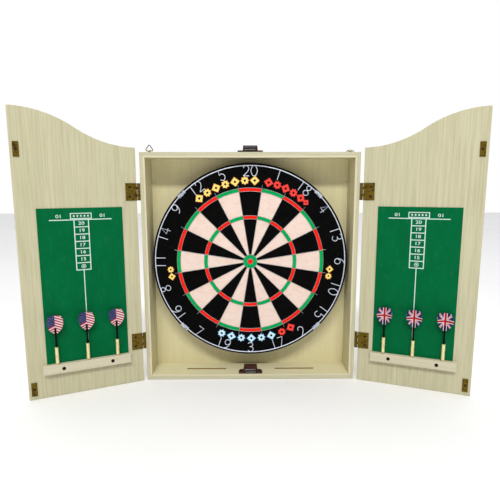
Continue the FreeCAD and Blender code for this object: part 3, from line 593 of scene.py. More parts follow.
def turned(profile, sides=32):
    """A lathe-turned shape about z, from (radius, height) points. A radius of 0 closes an end."""
    shape = bmesh.new()
    rings = []
    for radius, height in profile:
        if radius == 0:
            rings.append([shape.verts.new((0, 0, height))] * sides)
            continue
        angles = [2 * math.pi * side / sides for side in range(sides)]
        rings.append([shape.verts.new((radius * math.cos(a), radius * math.sin(a), height)) for a in angles])
    for lower, upper in zip(rings, rings[1:]):
        for side in range(sides):
            after = (side + 1) % sides
            corners = [lower[side], lower[after], upper[after], upper[side]]
            shape.faces.new(list(dict.fromkeys(corners)))
    return shape


def screw_shape(radius, rise, length):
    """A pan head over a plain shank, with a cross punched into the head. Its seat is at height 0."""
    climbs = [math.radians(climb) for climb in (0, 30, 55, 75)]
    crown = [(radius * math.cos(climb), rise * (0.35 + 0.65 * math.sin(climb))) for climb in climbs]
    body = turned(
        [(0, -length), (radius * 0.3, -length + 1.5 * MM), (radius * 0.45, -2 * MM), (radius * 0.5, 0),
         (radius, 0), *crown, (0, rise)], 24
    )
    arm, half, floor_of_cross = radius * 0.62, radius * 0.15, rise * 0.08
    for reach_x, reach_y in ((arm, half), (half, arm)):
        punch = brick((-reach_x, -reach_y, floor_of_cross), (reach_x, reach_y, rise * 2))
        body = cut_away(body, punch)
    return body


class Recipe:
    """A geometry-node tree while it is written: named sizes go in, one mesh in one finish comes out."""

    def __init__(self, name):
        self.tree = bpy.data.node_groups.new(name, "GeometryNodeTree")
        self.tree.interface.new_socket("Points", in_out="INPUT", socket_type="NodeSocketGeometry")
        self.tree.interface.new_socket("Shape", in_out="OUTPUT", socket_type="NodeSocketGeometry")
        self.feed = self.tree.nodes.new("NodeGroupInput")

    def size(self, name, kind="Float"):
        self.tree.interface.new_socket(name, in_out="INPUT", socket_type="NodeSocket" + kind)
        return self.feed.outputs[name]

    def step(self, kind, inputs=(), **settings):
        node = self.tree.nodes.new(kind)
        for key, value in settings.items():
            setattr(node, key, value)
        for key, value in dict(inputs).items():
            for one in value if isinstance(value, list) else [value]:
                if isinstance(one, bpy.types.NodeSocket):
                    self.tree.links.new(one, node.inputs[key])
                else:
                    node.inputs[key].default_value = one
        return node

    def maths(self, operation, first, second=0.0):
        return self.step("ShaderNodeMath", {0: first, 1: second}, operation=operation).outputs[0]

    def finish(self, shape, finish):
        real = self.step("GeometryNodeRealizeInstances", {"Geometry": shape}).outputs["Geometry"]
        coated = self.step("GeometryNodeSetMaterial", {"Geometry": real, "Material": finish})
        out = self.tree.nodes.new("NodeGroupOutput")
        self.tree.links.new(coated.outputs["Geometry"], out.inputs["Shape"])


def grown(recipe, sizes, points=None):
    """The mesh that a recipe makes from a set of named sizes."""
    host = bpy.data.objects.new("host", points or bpy.data.meshes.new("host"))
    scene.collection.objects.link(host)
    modifier = host.modifiers.new("recipe", "NODES")
    modifier.node_group = recipe.tree
    for item in recipe.tree.interface.items_tree:
        if item.item_type == "SOCKET" and item.in_out == "INPUT" and item.name in sizes:
            modifier[item.identifier] = sizes[item.name]
    return taken_off(host)


screw_setting = Recipe("screw setting")
screw_source = screw_setting.size("Screw", "Object")
screw_finish = screw_setting.size("Finish", "Material")
screw_mesh = screw_setting.step("GeometryNodeObjectInfo", {"Object": screw_source}).outputs["Geometry"]
outward = screw_setting.step("GeometryNodeInputNamedAttribute", {"Name": "outward"}, data_type="FLOAT_VECTOR")
twist = screw_setting.step("GeometryNodeInputNamedAttribute", {"Name": "twist"}, data_type="FLOAT")
aim = screw_setting.step(
    "FunctionNodeAlignRotationToVector", {"Vector": outward.outputs["Attribute"]}, axis="Z"
)
spin = screw_setting.step(
    "FunctionNodeAxisAngleToRotation", {"Axis": (0, 0, 1), "Angle": twist.outputs["Attribute"]}
)
attitude = screw_setting.step(
    "FunctionNodeRotateRotation",
    {"Rotation": aim.outputs["Rotation"], "Rotate By": spin.outputs["Rotation"]}, rotation_space="LOCAL",
)
screw_seats = screw_setting.feed.outputs["Points"]
set_screws = screw_setting.step(
    "GeometryNodeInstanceOnPoints",
    {"Points": screw_seats, "Instance": screw_mesh, "Rotation": attitude.outputs["Rotation"]},
)
screw_setting.finish(set_screws.outputs["Instances"], screw_finish)


set_already = set()


def set_screws_in(name, node, body, finish, seats, radius, rise, length=6 * MM):
    """Sets one kind of screw at each (seat, outward) pair, in place of a CAD node."""
    master = workpiece(screw_shape(radius, rise, length))
    points = bpy.data.meshes.new("seats")
    points.from_pydata([seat for seat, _ in seats], [], [])
    outwards = points.attributes.new("outward", "FLOAT_VECTOR", "POINT")
    outwards.data.foreach_set("vector", [value for _, way in seats for value in way])
    twists = points.attributes.new("twist", "FLOAT", "POINT")
    twists.data.foreach_set("value", [(0.7 + 2.4 * index) % math.pi for index in range(len(seats))])
    screws = grown(screw_setting, {"Screw": master, "Finish": finish}, points)
    cleared(master)
    first_set = node not in set_already
    set_already.add(node)
    return finished(name, screws, [finish], body, [node] if first_set else (), turn=50)


def seats_on(node, way, rise, place=Matrix()):
    """Seats of a node's screws, whose heads all face one way in a place's own frame."""
    axis = max(range(3), key=lambda index: abs(way[index]))
    seats = []
    for low, high in solids_in(node, place):
        seat = (low + high) / 2
        seat[axis] = (high if way[axis] > 0 else low)[axis] - rise * way[axis]
        seats.append((place @ seat, place.to_3x3() @ Vector(way)))
    return seats


small_head, small_rise = 2.6 * MM, 1.0 * MM

zinc = coating(
    "zinc_screw", (0.35, 1.0), 900, 4.0, [(0.3, (150, 150, 148)), (0.7, (205, 206, 208))], (0.25, 0.5)
)
black_screw = coating(
    "black_screw", (0.38, 0.6, 0.25), 800, 4.0, [(0.3, (5, 5, 6)), (0.7, (20, 20, 22))], (0.26, 0.5)
)
dark_brass = coating(
    "dark_brass_screw", (0.42, 1.0), 700, 4.0, [(0.3, (34, 26, 24)), (0.7, (78, 60, 48))], (0.3, 0.55)
)

set_screws_in("catch_screws_set", "catch_screws", cabinet, black_screw,
              seats_on("catch_screws", (0, 0, 1), small_rise), small_head, small_rise)
set_screws_in("hanger_screws_set", "hanger_screws", cabinet, zinc,
              seats_on("hanger_screws", (0, 1, 0), small_rise), small_head, small_rise)
set_screws_in("bracket_screws_set", "bracket_screws", cabinet, zinc,
              seats_on("bracket_screws", (0, -1, 0), small_rise), small_head, small_rise, 4 * MM)


# ---- Hinges on the cabinet ------------------------------------------------------------------------
# Butt hinges of pressed brass, aged to a mottled olive. This leaf lies on the outside of the side
# board and carries three of the five knuckles. The pin runs through them all.

knuckle_radius = 3 * MM
pin_radius = 1.3 * MM
pin_dome = 0.5 * MM
leaf_thickness = 1.5 * MM
leaf_clearance = 0.7 * MM
weld_lap = 0.05 * MM
hinge_middles = {"left": [], "right": []}

antique_brass = Finish("antique_brass", 0.46, 0.9, gloss=0.3)
patina = antique_brass.clouds((150, 150, 150), detail=6.0, roughness=0.65)
fleck = antique_brass.clouds((620, 620, 620), detail=3.0)
aged = antique_brass.ramp(
    patina,
    [(0.32, tint(58, 42, 14)), (0.46, tint(96, 78, 22)), (0.56, tint(122, 100, 34)), (0.7, tint(76, 66, 22))],
)
rubbed = antique_brass.spread(fleck, 0.0, 0.5, 0.52, 0.72)
antique_brass.colour(antique_brass.mix(rubbed, aged, tint(160, 134, 58)))
antique_brass.roughness(patina, 0.36, 0.6)
antique_brass.relief(fleck, 0.08, 0.5)


def turned_ring(profile, sides):
    """A turned shape whose profile closes on itself, so that it is a ring."""
    ring = turned(profile, sides)
    bmesh.ops.remove_doubles(ring, verts=ring.verts, dist=1e-7)
    return ring


def knuckle(x, y, low_z, high_z):
    """One rolled knuckle, its end edges broken."""
    edge = 0.3 * MM
    profile = [
        (pin_radius, low_z), (knuckle_radius - edge, low_z), (knuckle_radius, low_z + edge),
        (knuckle_radius, high_z - edge), (knuckle_radius - edge, high_z), (pin_radius, high_z),
        (pin_radius, low_z),
    ]
    return placed(turned_ring(profile, 28), Matrix.Translation((x, y, 0)))


def knuckle_heights(low_z, high_z, which):
    """Foot and top of every second knuckle, counted from the first or second one."""
    pitch = (high_z - low_z) / 5
    gap = 0.15 * MM
    return [(low_z + pitch * index + gap, low_z + pitch * (index + 1) - gap) for index in which]


pin_boxes = solids_in("hinge_pins")
for side, sign in (("left", -1), ("right", 1)):
    pieces = []
    pins = [box for box in pin_boxes if box[0].x * sign > 0]
    leaves = [box for box in solids_in("hinge_cabinet_leaves") if box[0].x * sign > 0]
    for (pin_low, pin_high), (low, high) in zip(pins, leaves):
        axis_x, axis_y = (pin_low.x + pin_high.x) / 2, (pin_low.y + pin_high.y) / 2
        face_x = sign * abs(box_high.x)
        leaf_x = sorted((face_x, face_x + sign * leaf_thickness))
        leaf_front = axis_y + knuckle_radius + leaf_clearance
        pieces.append(brick((leaf_x[0], leaf_front, low.z), (leaf_x[1], high.y, high.z)))
        for foot, top in knuckle_heights(low.z, high.z, (0, 2, 4)):
            pieces.append(knuckle(axis_x, axis_y, foot, top))
            pieces.append(brick((leaf_x[0], axis_y, foot), (leaf_x[1], leaf_front + weld_lap, top)))
        hinge_middles[side].append((axis_x, axis_y, low.z, high.z))
    finished(
        f"{side}_hinge_side_leaves", assembled(*pieces), [antique_brass.material], cabinet,
        ["hinge_cabinet_leaves"] if side == "left" else (), 0.3 * MM,
    )

pin_shapes = []
for low, high in pin_boxes:
    middle = (low + high) / 2
    profile = [(0, low.z), (pin_radius - pin_dome / 2, low.z), (pin_radius, low.z + pin_dome),
               (pin_radius, high.z - pin_dome), (pin_radius - pin_dome / 2, high.z), (0, high.z)]
    pin_shapes.append(placed(turned(profile, 20), Matrix.Translation((middle.x, middle.y, 0))))
finished(
    "hinge_pins_turned", assembled(*pin_shapes), [antique_brass.material], cabinet,
    ["hinge_pins"],
)

cabinet_screw_seats = []
for way in ((-1, 0, 0), (1, 0, 0)):
    seats = seats_on("hinge_cabinet_screws", way, small_rise)
    cabinet_screw_seats += [seat for seat in seats if seat[0].x * way[0] > 0]
set_screws_in("hinge_side_screws", "hinge_cabinet_screws", cabinet, dark_brass,
              cabinet_screw_seats, small_head, small_rise)


# ---- Dart board body --------------------------------------------------------------------------------
# Sisal fibres packed on end and dyed bed by bed, on a chipboard backing, inside a rolled steel
# band. The beds are cut apart here as they are dyed: twenty segments, two scoring rings, two bulls.

board_low, board_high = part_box("board_sisal")
band_low, band_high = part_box("board_rim_band")
hub = Vector(((band_low.x + band_high.x) / 2, 0, (band_low.z + band_high.z) / 2))
board_face = board_low.y
board_radius = (board_high.x - board_low.x) / 2
bed_edges = [value * MM for value in (6.35, 15.9, 99.0, 107.0, 162.0, 170.0)]
arcs_per_bed = 10


def sisal(name, dye, fleck_dye, stray_dye, hole_depth):
    """Cut fibre ends: a fine grain, soft patches, and the small pits that points leave."""
    finish = Finish(name, 0.95, gloss=0.06)
    colour, fleck_colour, stray_colour = tint(*dye), tint(*fleck_dye), tint(*stray_dye)
    fibres = finish.clouds((1500, 1500, 1500), detail=4.0, roughness=0.7)
    combed = finish.clouds((170, 170, 620), detail=5.0, roughness=0.65, turn=(0, 0.35, 0))
    patches = finish.clouds((62, 62, 95), detail=5.0, roughness=0.62)
    stray = finish.clouds((260, 260, 90), detail=3.0, roughness=0.5, turn=(0, -0.5, 0))
    pits = finish.step("TexVoronoi", {"Vector": finish.where((95, 95, 95)), "Scale": 1.0}).outputs["Distance"]
    grain = finish.mix(finish.spread(fibres, 0.0, 0.45, 0.42, 0.75), colour, fleck_colour)
    lined = finish.mix(finish.spread(combed, 0.0, 0.6, 0.5, 0.72), grain, fleck_colour)
    patched = finish.mix(finish.spread(patches, 0.0, 0.5, 0.46, 0.7), lined, fleck_colour)
    strayed = finish.mix(finish.spread(stray, 0.0, hole_depth, 0.68, 0.76), patched, stray_colour)
    pitted = finish.mix(finish.spread(pits, hole_depth, 0.0, 0.02, 0.07), strayed, stray_colour)
    finish.colour(pitted)
    finish.relief(fibres, 0.22, 0.6)
    return finish.material


sisal_finishes = [
    sisal("sisal_black", (4, 4, 5), (15, 14, 12), (58, 50, 34), 0.5),
    sisal("sisal_natural", (240, 219, 207), (226, 192, 174), (176, 130, 96), 0.6),
    sisal("sisal_red", (255, 38, 22), (232, 24, 14), (160, 20, 14), 0.3),
    sisal("sisal_green", (0, 174, 90), (0, 150, 76), (0, 104, 54), 0.3),
]
black, natural, red, green = range(4)

board_turns = 20 * arcs_per_bed
disc = bmesh.new()
bed_rings = []
for radius in (*bed_edges, board_radius):
    ring = []
    for turn in range(board_turns):
        angle = math.radians(9) + 2 * math.pi * turn / board_turns
        ring.append(disc.verts.new((radius * math.sin(angle), board_face, radius * math.cos(angle))))
    bed_rings.append(ring)
centre = disc.verts.new((0, board_face, 0))
for turn in range(board_turns):
    after = (turn + 1) % board_turns
    dark_segment = (turn // arcs_per_bed) % 2 == 1
    bull = disc.faces.new((centre, bed_rings[0][turn], bed_rings[0][after]))
    bull.material_index = red
    bed_dye, ring_dye = (black, red) if dark_segment else (natural, green)
    dyes = [green, bed_dye, ring_dye, bed_dye, ring_dye, black]
    for dye, inner, outer in zip(dyes, bed_rings, bed_rings[1:]):
        bed = disc.faces.new((inner[turn], inner[after], outer[after], outer[turn]))
        bed.material_index = dye
rear_ring = [disc.verts.new((v.co.x, board_high.y, v.co.z)) for v in bed_rings[-1]]
for turn in range(board_turns):
    after = (turn + 1) % board_turns
    disc.faces.new((bed_rings[-1][turn], bed_rings[-1][after], rear_ring[after], rear_ring[turn]))
disc.faces.new(rear_ring)
finished(
    "sisal_beds", placed(disc, Matrix.Translation((hub.x, 0, hub.z))), sisal_finishes,
    body_of("board_sisal"), ["board_sisal"],
)

band_finish = coating(
    "rim_band", (0.36, 0.6), (40, 600, 40), 5.0, [(0.35, (12, 12, 26)), (0.7, (34, 34, 58))],
    (0.28, 0.5), (0.04,),
)


def face_on(shape, y):
    """Stands a shape made about z on the board's face, its top towards the player."""
    return placed(shape, Matrix.Translation((hub.x, y, hub.z)) @ onto_its_back)


band_outer = (band_high.x - band_low.x) / 2
band_width = band_high.y - band_low.y
band_inner = board_radius + 0.02 * MM
lip = 0.25 * MM
band_profile = [
    (band_inner, 0), (band_outer - lip, 0), (band_outer, lip), (band_outer, band_width - lip),
    (band_outer - lip, band_width), (band_inner, band_width), (band_inner, 0),
]
band = turned_ring(band_profile, 220)
finished("steel_rim_band", face_on(band, band_high.y), [band_finish], body_of("board_rim_band"),
         ["board_rim_band"])

chipboard = Finish("board_chipboard", 0.85)
chips = chipboard.step("TexVoronoi", {"Vector": chipboard.where((380, 380, 380)), "Scale": 1.0})
chipboard.colour(
    chipboard.ramp(chips.outputs["Distance"], [(0.1, tint(150, 122, 86)), (0.8, tint(190, 162, 122))])
)
chipboard.relief(chips.outputs["Distance"], 0.2)
refinished(chipboard.material, "board_backing")

pad_rubber = coating(
    "pad_rubber", (0.8,), 500, 4.0, [(0.3, (22, 22, 22)), (0.7, (46, 45, 43))], bump=(0.08,)
)
refinished(pad_rubber, "board_rest_pads")


# ---- Spider -----------------------------------------------------------------------------------------
# Thin galvanised wires stand on the face and part the beds: five welded rings with twenty spokes,
# and a loose ring round the inner bull. The spokes run a little way into the black band.

wire_radius = 0.52 * MM
spoke_end = 178 * MM

spider_finish = coating(
    "spider_wire", (0.4, 0.85), 300, 4.0, [(0.3, (128, 132, 132)), (0.7, (188, 192, 190))], (0.3, 0.55)
)

spider = Recipe("spider")
wire = spider.size("Wire radius")
reach = spider.size("Spoke end")
count = spider.size("Segments", "Int")
spider_coat = spider.size("Finish", "Material")
hoop_sizes = [spider.size(f"Ring {index + 1}") for index in range(len(bed_edges))]
hoops = [
    spider.step("GeometryNodeCurvePrimitiveCircle", {"Resolution": 180, "Radius": hoop_size}).outputs["Curve"]
    for hoop_size in hoop_sizes
]
inner_end = spider.step("ShaderNodeCombineXYZ", {"Y": hoop_sizes[1]}).outputs["Vector"]
outer_end = spider.step("ShaderNodeCombineXYZ", {"Y": reach}).outputs["Vector"]
spoke = spider.step("GeometryNodeCurvePrimitiveLine", {"Start": inner_end, "End": outer_end}).outputs["Curve"]
hub_points = spider.step("GeometryNodePoints", {"Count": count}).outputs["Points"]
number = spider.step("GeometryNodeInputIndex").outputs["Index"]
share = spider.maths("DIVIDE", spider.maths("ADD", number, 0.5), count)
turn_angle = spider.maths("MULTIPLY", share, 2 * math.pi)
spoke_turn = spider.step("ShaderNodeCombineXYZ", {"Z": turn_angle}).outputs["Vector"]
spokes = spider.step(
    "GeometryNodeInstanceOnPoints", {"Points": hub_points, "Instance": spoke, "Rotation": spoke_turn}
).outputs["Instances"]
real_spokes = spider.step("GeometryNodeRealizeInstances", {"Geometry": spokes}).outputs["Geometry"]
all_wires = spider.step("GeometryNodeJoinGeometry", {"Geometry": [*hoops, real_spokes]}).outputs["Geometry"]
section = spider.step("GeometryNodeCurvePrimitiveCircle", {"Resolution": 8, "Radius": wire}).outputs["Curve"]
wires = spider.step(
    "GeometryNodeCurveToMesh", {"Curve": all_wires, "Profile Curve": section, "Fill Caps": True}
).outputs["Mesh"]
spider.finish(wires, spider_coat)

spider_shape = grown(
    spider,
    {
        "Wire radius": wire_radius, "Spoke end": spoke_end, "Segments": 20, "Finish": spider_finish,
        **{f"Ring {index + 1}": radius for index, radius in enumerate(bed_edges)},
    },
)
finished("scoring_wires", face_on(spider_shape, board_face - wire_radius), [spider_finish],
         body_of("board_spider"), ["board_spider"], turn=60)


# ---- Printed band ornament ------------------------------------------------------------------------
# Screen-printed on the black band: rows of lozenges and eight-pointed rosettes above and below, and
# two smaller marks at each side. A light ink lies over a darker one, each a tenth of a millimetre thick.

ink_height = 0.1 * MM
ornament_radius = 186.5 * MM
under_ink_margin = 1.3 * MM
small_mark = 8.2 * MM


def ink(name, colour, shadow):
    """A printed ink that thins a little where the fibres show through."""
    finish = Finish(name, 0.55)
    cover = finish.clouds((700, 700, 700), detail=4.0)
    thinned = finish.spread(cover, 0.0, 0.55, 0.5, 0.8)
    finish.colour(finish.mix(thinned, tint(*colour), tint(*shadow)))
    finish.roughness(cover, 0.45, 0.7)
    finish.relief(cover, 0.08)
    return finish.material


gold_ink = ink("ink_gold", (255, 222, 120), (240, 190, 78))
red_ink = ink("ink_red", (250, 52, 40), (226, 34, 28))
sky_ink = ink("ink_pale_blue", (206, 236, 250), (150, 208, 236))
amber_ink = ink("ink_amber", (206, 128, 44), (168, 92, 26))
wine_ink = ink("ink_wine", (150, 26, 22), (110, 14, 14))
blue_ink = ink("ink_blue", (70, 150, 206), (40, 110, 168))

motif_row = Recipe("motif row")
row_radius = motif_row.size("Radius")
row_start = motif_row.size("First angle")
row_pitch = motif_row.size("Pitch")
row_count = motif_row.size("Motifs", "Int")
tall = motif_row.size("Half height")
row_ink = motif_row.size("Finish", "Material")
row_points = motif_row.step("GeometryNodePoints", {"Count": row_count}).outputs["Points"]
place_in_row = motif_row.step("GeometryNodeInputIndex").outputs["Index"]
row_angle = motif_row.maths("ADD", row_start, motif_row.maths("MULTIPLY", place_in_row, row_pitch))
row_x = motif_row.maths("MULTIPLY", motif_row.maths("SINE", row_angle), row_radius)
row_y = motif_row.maths("MULTIPLY", motif_row.maths("COSINE", row_angle), row_radius)
row_spot = motif_row.step("ShaderNodeCombineXYZ", {"X": row_x, "Y": row_y}).outputs["Vector"]
row_set = motif_row.step(
    "GeometryNodeSetPosition", {"Geometry": row_points, "Position": row_spot}
).outputs["Geometry"]
row_turn = motif_row.step(
    "ShaderNodeCombineXYZ", {"Z": motif_row.maths("MULTIPLY", row_angle, -1.0)}
).outputs["Vector"]


def motif_ring(corners, share):
    """A regular shape of a motif's half height times a share, before it is filled."""
    radius = motif_row.maths("MULTIPLY", tall, share)
    ring = motif_row.step("GeometryNodeCurvePrimitiveCircle", {"Resolution": corners, "Radius": radius})
    return ring.outputs["Curve"]


def printed(*outlines):
    """A motif's face, filled between its outlines."""
    joined = motif_row.step("GeometryNodeJoinGeometry", {"Geometry": list(outlines)}).outputs["Geometry"]
    return motif_row.step("GeometryNodeFillCurve", {"Curve": joined}, mode="TRIANGLES").outputs["Mesh"]


petal_tip = motif_row.maths("MULTIPLY", tall, 0.9)
petal_root = motif_row.maths("MULTIPLY", tall, 0.66)
rosette = motif_row.step(
    "GeometryNodeCurveStar",
    {"Points": 8, "Inner Radius": petal_root, "Outer Radius": petal_tip, "Twist": 0.0},
).outputs["Curve"]
rosette_face = printed(rosette, motif_ring(20, 0.26))
lozenge_face = printed(motif_ring(4, 1.0), motif_ring(4, 0.34))
motifs = motif_row.step(
    "GeometryNodeGeometryToInstance", {"Geometry": [rosette_face, lozenge_face]}
).outputs["Instances"]
alternate = motif_row.maths("MODULO", place_in_row, 2.0)
row_motifs = motif_row.step(
    "GeometryNodeInstanceOnPoints",
    {
        "Points": row_set, "Instance": motifs, "Pick Instance": True, "Instance Index": alternate,
        "Rotation": row_turn,
    },
).outputs["Instances"]
motif_row.finish(row_motifs, row_ink)


def thickened(flat, height):
    """Gives a flat print its thickness, away from the surface."""
    made = bmesh.ops.extrude_face_region(flat, geom=flat.faces[:])
    raised = [item for item in made["geom"] if isinstance(item, bmesh.types.BMVert)]
    bmesh.ops.translate(flat, verts=raised, vec=(0, 0, height))
    return flat


def print_row(name, top_ink, under_ink, first, pitch, motif_count, half_height=10.2 * MM):
    """One run of motifs along the black band, at angles in degrees clockwise from the top.

    A darker ink goes down first, then a smaller print of the light one over it.
    """
    for layer, finish, size in ((1, under_ink, half_height + under_ink_margin), (2, top_ink, half_height)):
        row = grown(
            motif_row,
            {
                "Radius": ornament_radius, "First angle": math.radians(first), "Pitch": math.radians(pitch),
                "Motifs": motif_count, "Half height": size, "Finish": finish,
            },
        )
        bmesh.ops.remove_doubles(row, verts=row.verts, dist=1e-6)
        laid = face_on(thickened(row, ink_height * layer), board_face)
        finished(f"{name}_ink_{layer}", laid, [finish], body_of("board_sisal"))


print_row("upper_left_row", gold_ink, amber_ink, -38.5, 6.95, 7)
print_row("upper_right_row", red_ink, wine_ink, 13.0, 6.3, 5)
print_row("upper_end_mark", red_ink, wine_ink, 43.0, 5.0, 1, 7.0 * MM)
print_row("lower_row", sky_ink, blue_ink, 164.5, 7.4, 6)
print_row("lower_end_row", red_ink, wine_ink, 149.0, 7.2, 2)
print_row("left_mark", gold_ink, amber_ink, -101.0, 5.2, 2, small_mark)
print_row("right_mark", gold_ink, amber_ink, 95.8, 5.2, 2, small_mark)


# ---- Number ring -----------------------------------------------------------------------------------
# A hoop of white-coated wire with bent-wire numerals welded inside it. It lifts off its clips
# and turns, so that the board wears evenly. The lower numbers stand the other way up.

ring_low, ring_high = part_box("number_ring")
hoop_wire = 1.15 * MM
numeral_wire = 0.85 * MM
hoop_inset = 1.2 * MM
hoop_radius = (ring_high.x - ring_low.x) / 2 - hoop_inset
hoop_y = (ring_low.y + ring_high.y) / 2
numeral_height = 23 * MM
digit_width = 13 * MM
digit_gap = 5 * MM
weld_overlap = 0.5 * MM
clockwise_numbers = (20, 1, 18, 4, 13, 6, 10, 15, 2, 17, 3, 19, 7, 16, 8, 11, 14, 9, 12, 5)
numbers_with_tops_inward = (2, 17, 3, 19, 7)

six = [
    (0.86, 0.98), (0.42, 0.84), (0.06, 0.48), (0.06, 0.16), (0.5, 0.0), (0.95, 0.2), (0.82, 0.5),
    (0.42, 0.56), (0.08, 0.36),
]
digit_bends = {
    "0": [("loop", [(0.5, 1), (0.96, 0.74), (0.96, 0.26), (0.5, 0), (0.04, 0.26), (0.04, 0.74)])],
    "1": [("bar", [(0.5, 0), (0.5, 1)])],
    "2": [("bend", [(0.02, 0.76), (0.2, 0.96), (0.55, 1.0), (0.93, 0.8), (0.82, 0.5), (0.4, 0.22), (0, 0)]),
          ("bar", [(0, 0), (1, 0)])],
    "3": [("bend", [(0.06, 0.88), (0.5, 1.0), (0.92, 0.78), (0.72, 0.57), (0.36, 0.54)]),
          ("bend", [(0.36, 0.54), (0.78, 0.5), (1.0, 0.26), (0.56, 0.0), (0.02, 0.14)])],
    "4": [("bar", [(0.7, 0), (0.7, 1), (0, 0.3), (1, 0.3)])],
    "5": [("bar", [(0.9, 1), (0.14, 1), (0.1, 0.56)]),
          ("bend", [(0.1, 0.56), (0.5, 0.64), (0.96, 0.36), (0.6, 0.0), (0.04, 0.1)])],
    "6": [("bend", six)],
    "7": [("bar", [(0, 1), (1, 1), (0.34, 0)])],
    "8": [("loop", [(0.5, 1), (0.9, 0.78), (0.5, 0.54), (0.02, 0.26), (0.5, 0), (0.98, 0.26), (0.5, 0.54),
                    (0.1, 0.78)])],
    "9": [("bend", [(1 - x, 1 - z) for x, z in six])],
}

number_finish = coating(
    "number_wire", (0.35, 0.1), 240, 4.0, [(0.32, (196, 206, 228)), (0.66, (238, 242, 252))],
    (0.26, 0.46), (0.04,),
)


def wire_stroke(curve, points, kind):
    """One bent wire of a numeral, through points in the board's own plane."""
    stroke = curve.splines.new("BEZIER")
    stroke.bezier_points.add(len(points) - 1)
    stroke.use_cyclic_u = kind == "loop"
    for knot, point in zip(stroke.bezier_points, points):
        knot.co = point
        knot.handle_left_type = knot.handle_right_type = "VECTOR" if kind == "bar" else "AUTO"


def drawn_wire(name, radius, smoothness, roundness, capped=False):
    """An empty curve that will be a round wire, on the bench."""
    curve = bpy.data.curves.new(name, "CURVE")
    curve.dimensions = "3D"
    curve.resolution_u = smoothness
    curve.bevel_depth = radius
    curve.bevel_resolution = roundness
    curve.use_fill_caps = capped
    host = bpy.data.objects.new(name, curve)
    scene.collection.objects.link(host)
    return host


numeral_host = drawn_wire("numerals", numeral_wire, 7, 2, capped=True)
weld = hoop_radius - weld_overlap - numeral_height / 2
for place, number_value in enumerate(clockwise_numbers):
    text = str(number_value)
    width = len(text) * digit_width + (len(text) - 1) * digit_gap
    upside_down = number_value in numbers_with_tops_inward
    bearing = Matrix.Rotation(-2 * math.pi * place / len(clockwise_numbers), 3, "Z")
    for index, character in enumerate(text):
        for kind, points in digit_bends[character]:
            bent = []
            for x, z in points:
                flat_x = index * (digit_width + digit_gap) + x * digit_width - width / 2
                flat_z = (z - 0.5) * numeral_height
                if upside_down:
                    flat_x, flat_z = -flat_x, -flat_z
                bent.append(bearing @ Vector((flat_x, flat_z + weld, 0)))
            wire_stroke(numeral_host.data, bent, kind)
numeral_shape = taken_off(numeral_host)

hoop_host = drawn_wire("hoop", hoop_wire, 48, 3)
quarters = [turn * math.pi / 2 for turn in (0, 1, 2, -1)]
quarter_points = [Vector((hoop_radius * math.sin(a), hoop_radius * math.cos(a), 0)) for a in quarters]
wire_stroke(hoop_host.data, quarter_points, "loop")
handle_share_of_a_circle = 0.5523
for knot in hoop_host.data.splines[0].bezier_points:
    tangent = Vector((knot.co.y, -knot.co.x, 0)) * handle_share_of_a_circle
    knot.handle_left_type = knot.handle_right_type = "FREE"
    knot.handle_left = knot.co - tangent
    knot.handle_right = knot.co + tangent
ring_shape = assembled(numeral_shape, taken_off(hoop_host))
finished("wire_number_ring", face_on(ring_shape, hoop_y), [number_finish], body_of("number_ring"),
         ["number_ring"], turn=50)


# ---- Number ring clips ------------------------------------------------------------------------------
# Four spring clips of bright steel are stapled to the black band. Each is an open channel with
# thick lips that fold in, and the hoop is pushed in between them from the front.

clip_length = 20 * MM
clip_half = 3.8 * MM
clip_sheet = 0.6 * MM
clip_rise = board_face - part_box("number_ring_clips")[0].y

# The clips' base colour runs in patches from dark blue to near white: a painted reflection and highlight on
# the chrome, not the steel's own colour.
clip_chrome = coating(
    "clip_chrome", (0.2, 1.0), 180, 4.0,
    [(0.34, (96, 108, 142)), (0.46, (196, 206, 224)), (0.58, (250, 252, 255))], (0.22, 0.4), (0.03,),
)


def clip_channel():
    """One clip's bent section, in the (radius, height) plane, swept round the hoop's circle."""
    outer = [(clip_half * 0.7, 0), (clip_half, clip_rise * 0.35), (clip_half, clip_rise)]
    inner = [
        (clip_half - clip_sheet * 3.0, clip_rise), (clip_half - clip_sheet * 2.8, clip_rise * 0.78),
        (clip_half - clip_sheet, clip_rise * 0.38), (clip_half * 0.62, clip_sheet),
    ]
    right_half = outer + inner
    left_half = [(-along, height) for along, height in reversed(right_half)]
    outline = left_half[len(inner):] + right_half + left_half[:len(inner)]
    half_angle = clip_length / 2 / hoop_radius
    slices = 8
    channel = bmesh.new()
    rows = []
    for cut in range(slices + 1):
        angle = half_angle * (2 * cut / slices - 1)
        sine, cosine = math.sin(angle), math.cos(angle)
        rows.append([
            channel.verts.new(((hoop_radius + r) * sine, (hoop_radius + r) * cosine, height))
            for r, height in outline
        ])
    for row, following in zip(rows, rows[1:]):
        for index in range(len(outline)):
            after = (index + 1) % len(outline)
            channel.faces.new((row[index], row[after], following[after], following[index]))
    channel.faces.new(rows[0])
    channel.faces.new(reversed(rows[-1]))
    return channel


clips = [placed(clip_channel(), Matrix.Rotation(math.radians(45 + 90 * index), 4, "Z")) for index in range(4)]
finished("ring_clips", face_on(assembled(*clips), board_face), [clip_chrome],
         body_of("number_ring_clips"), ["number_ring_clips"], 0.12 * MM)


# ---- Doors -------------------------------------------------------------------------------------------
# Two 12 mm boards in the same foil, grain upright, with a scalloped top that sweeps up to the
# free edge in two equal arcs. Each hangs on its hinge pins and stands open.

door_signs = {"left": -1, "right": 1}
door_places = {}
for side, sign in door_signs.items():
    pin_x, pin_y = hinge_middles[side][0][:2]
    joint = next(row for row in frame["joints"] if row["name"] == f"{side}_door_hinge")
    short_of_flat = math.radians(joint["range_deg"][1])
    door_places[side] = Matrix.Translation((pin_x, pin_y, 0)) @ Matrix.Rotation(-sign * short_of_flat, 4, "Z")


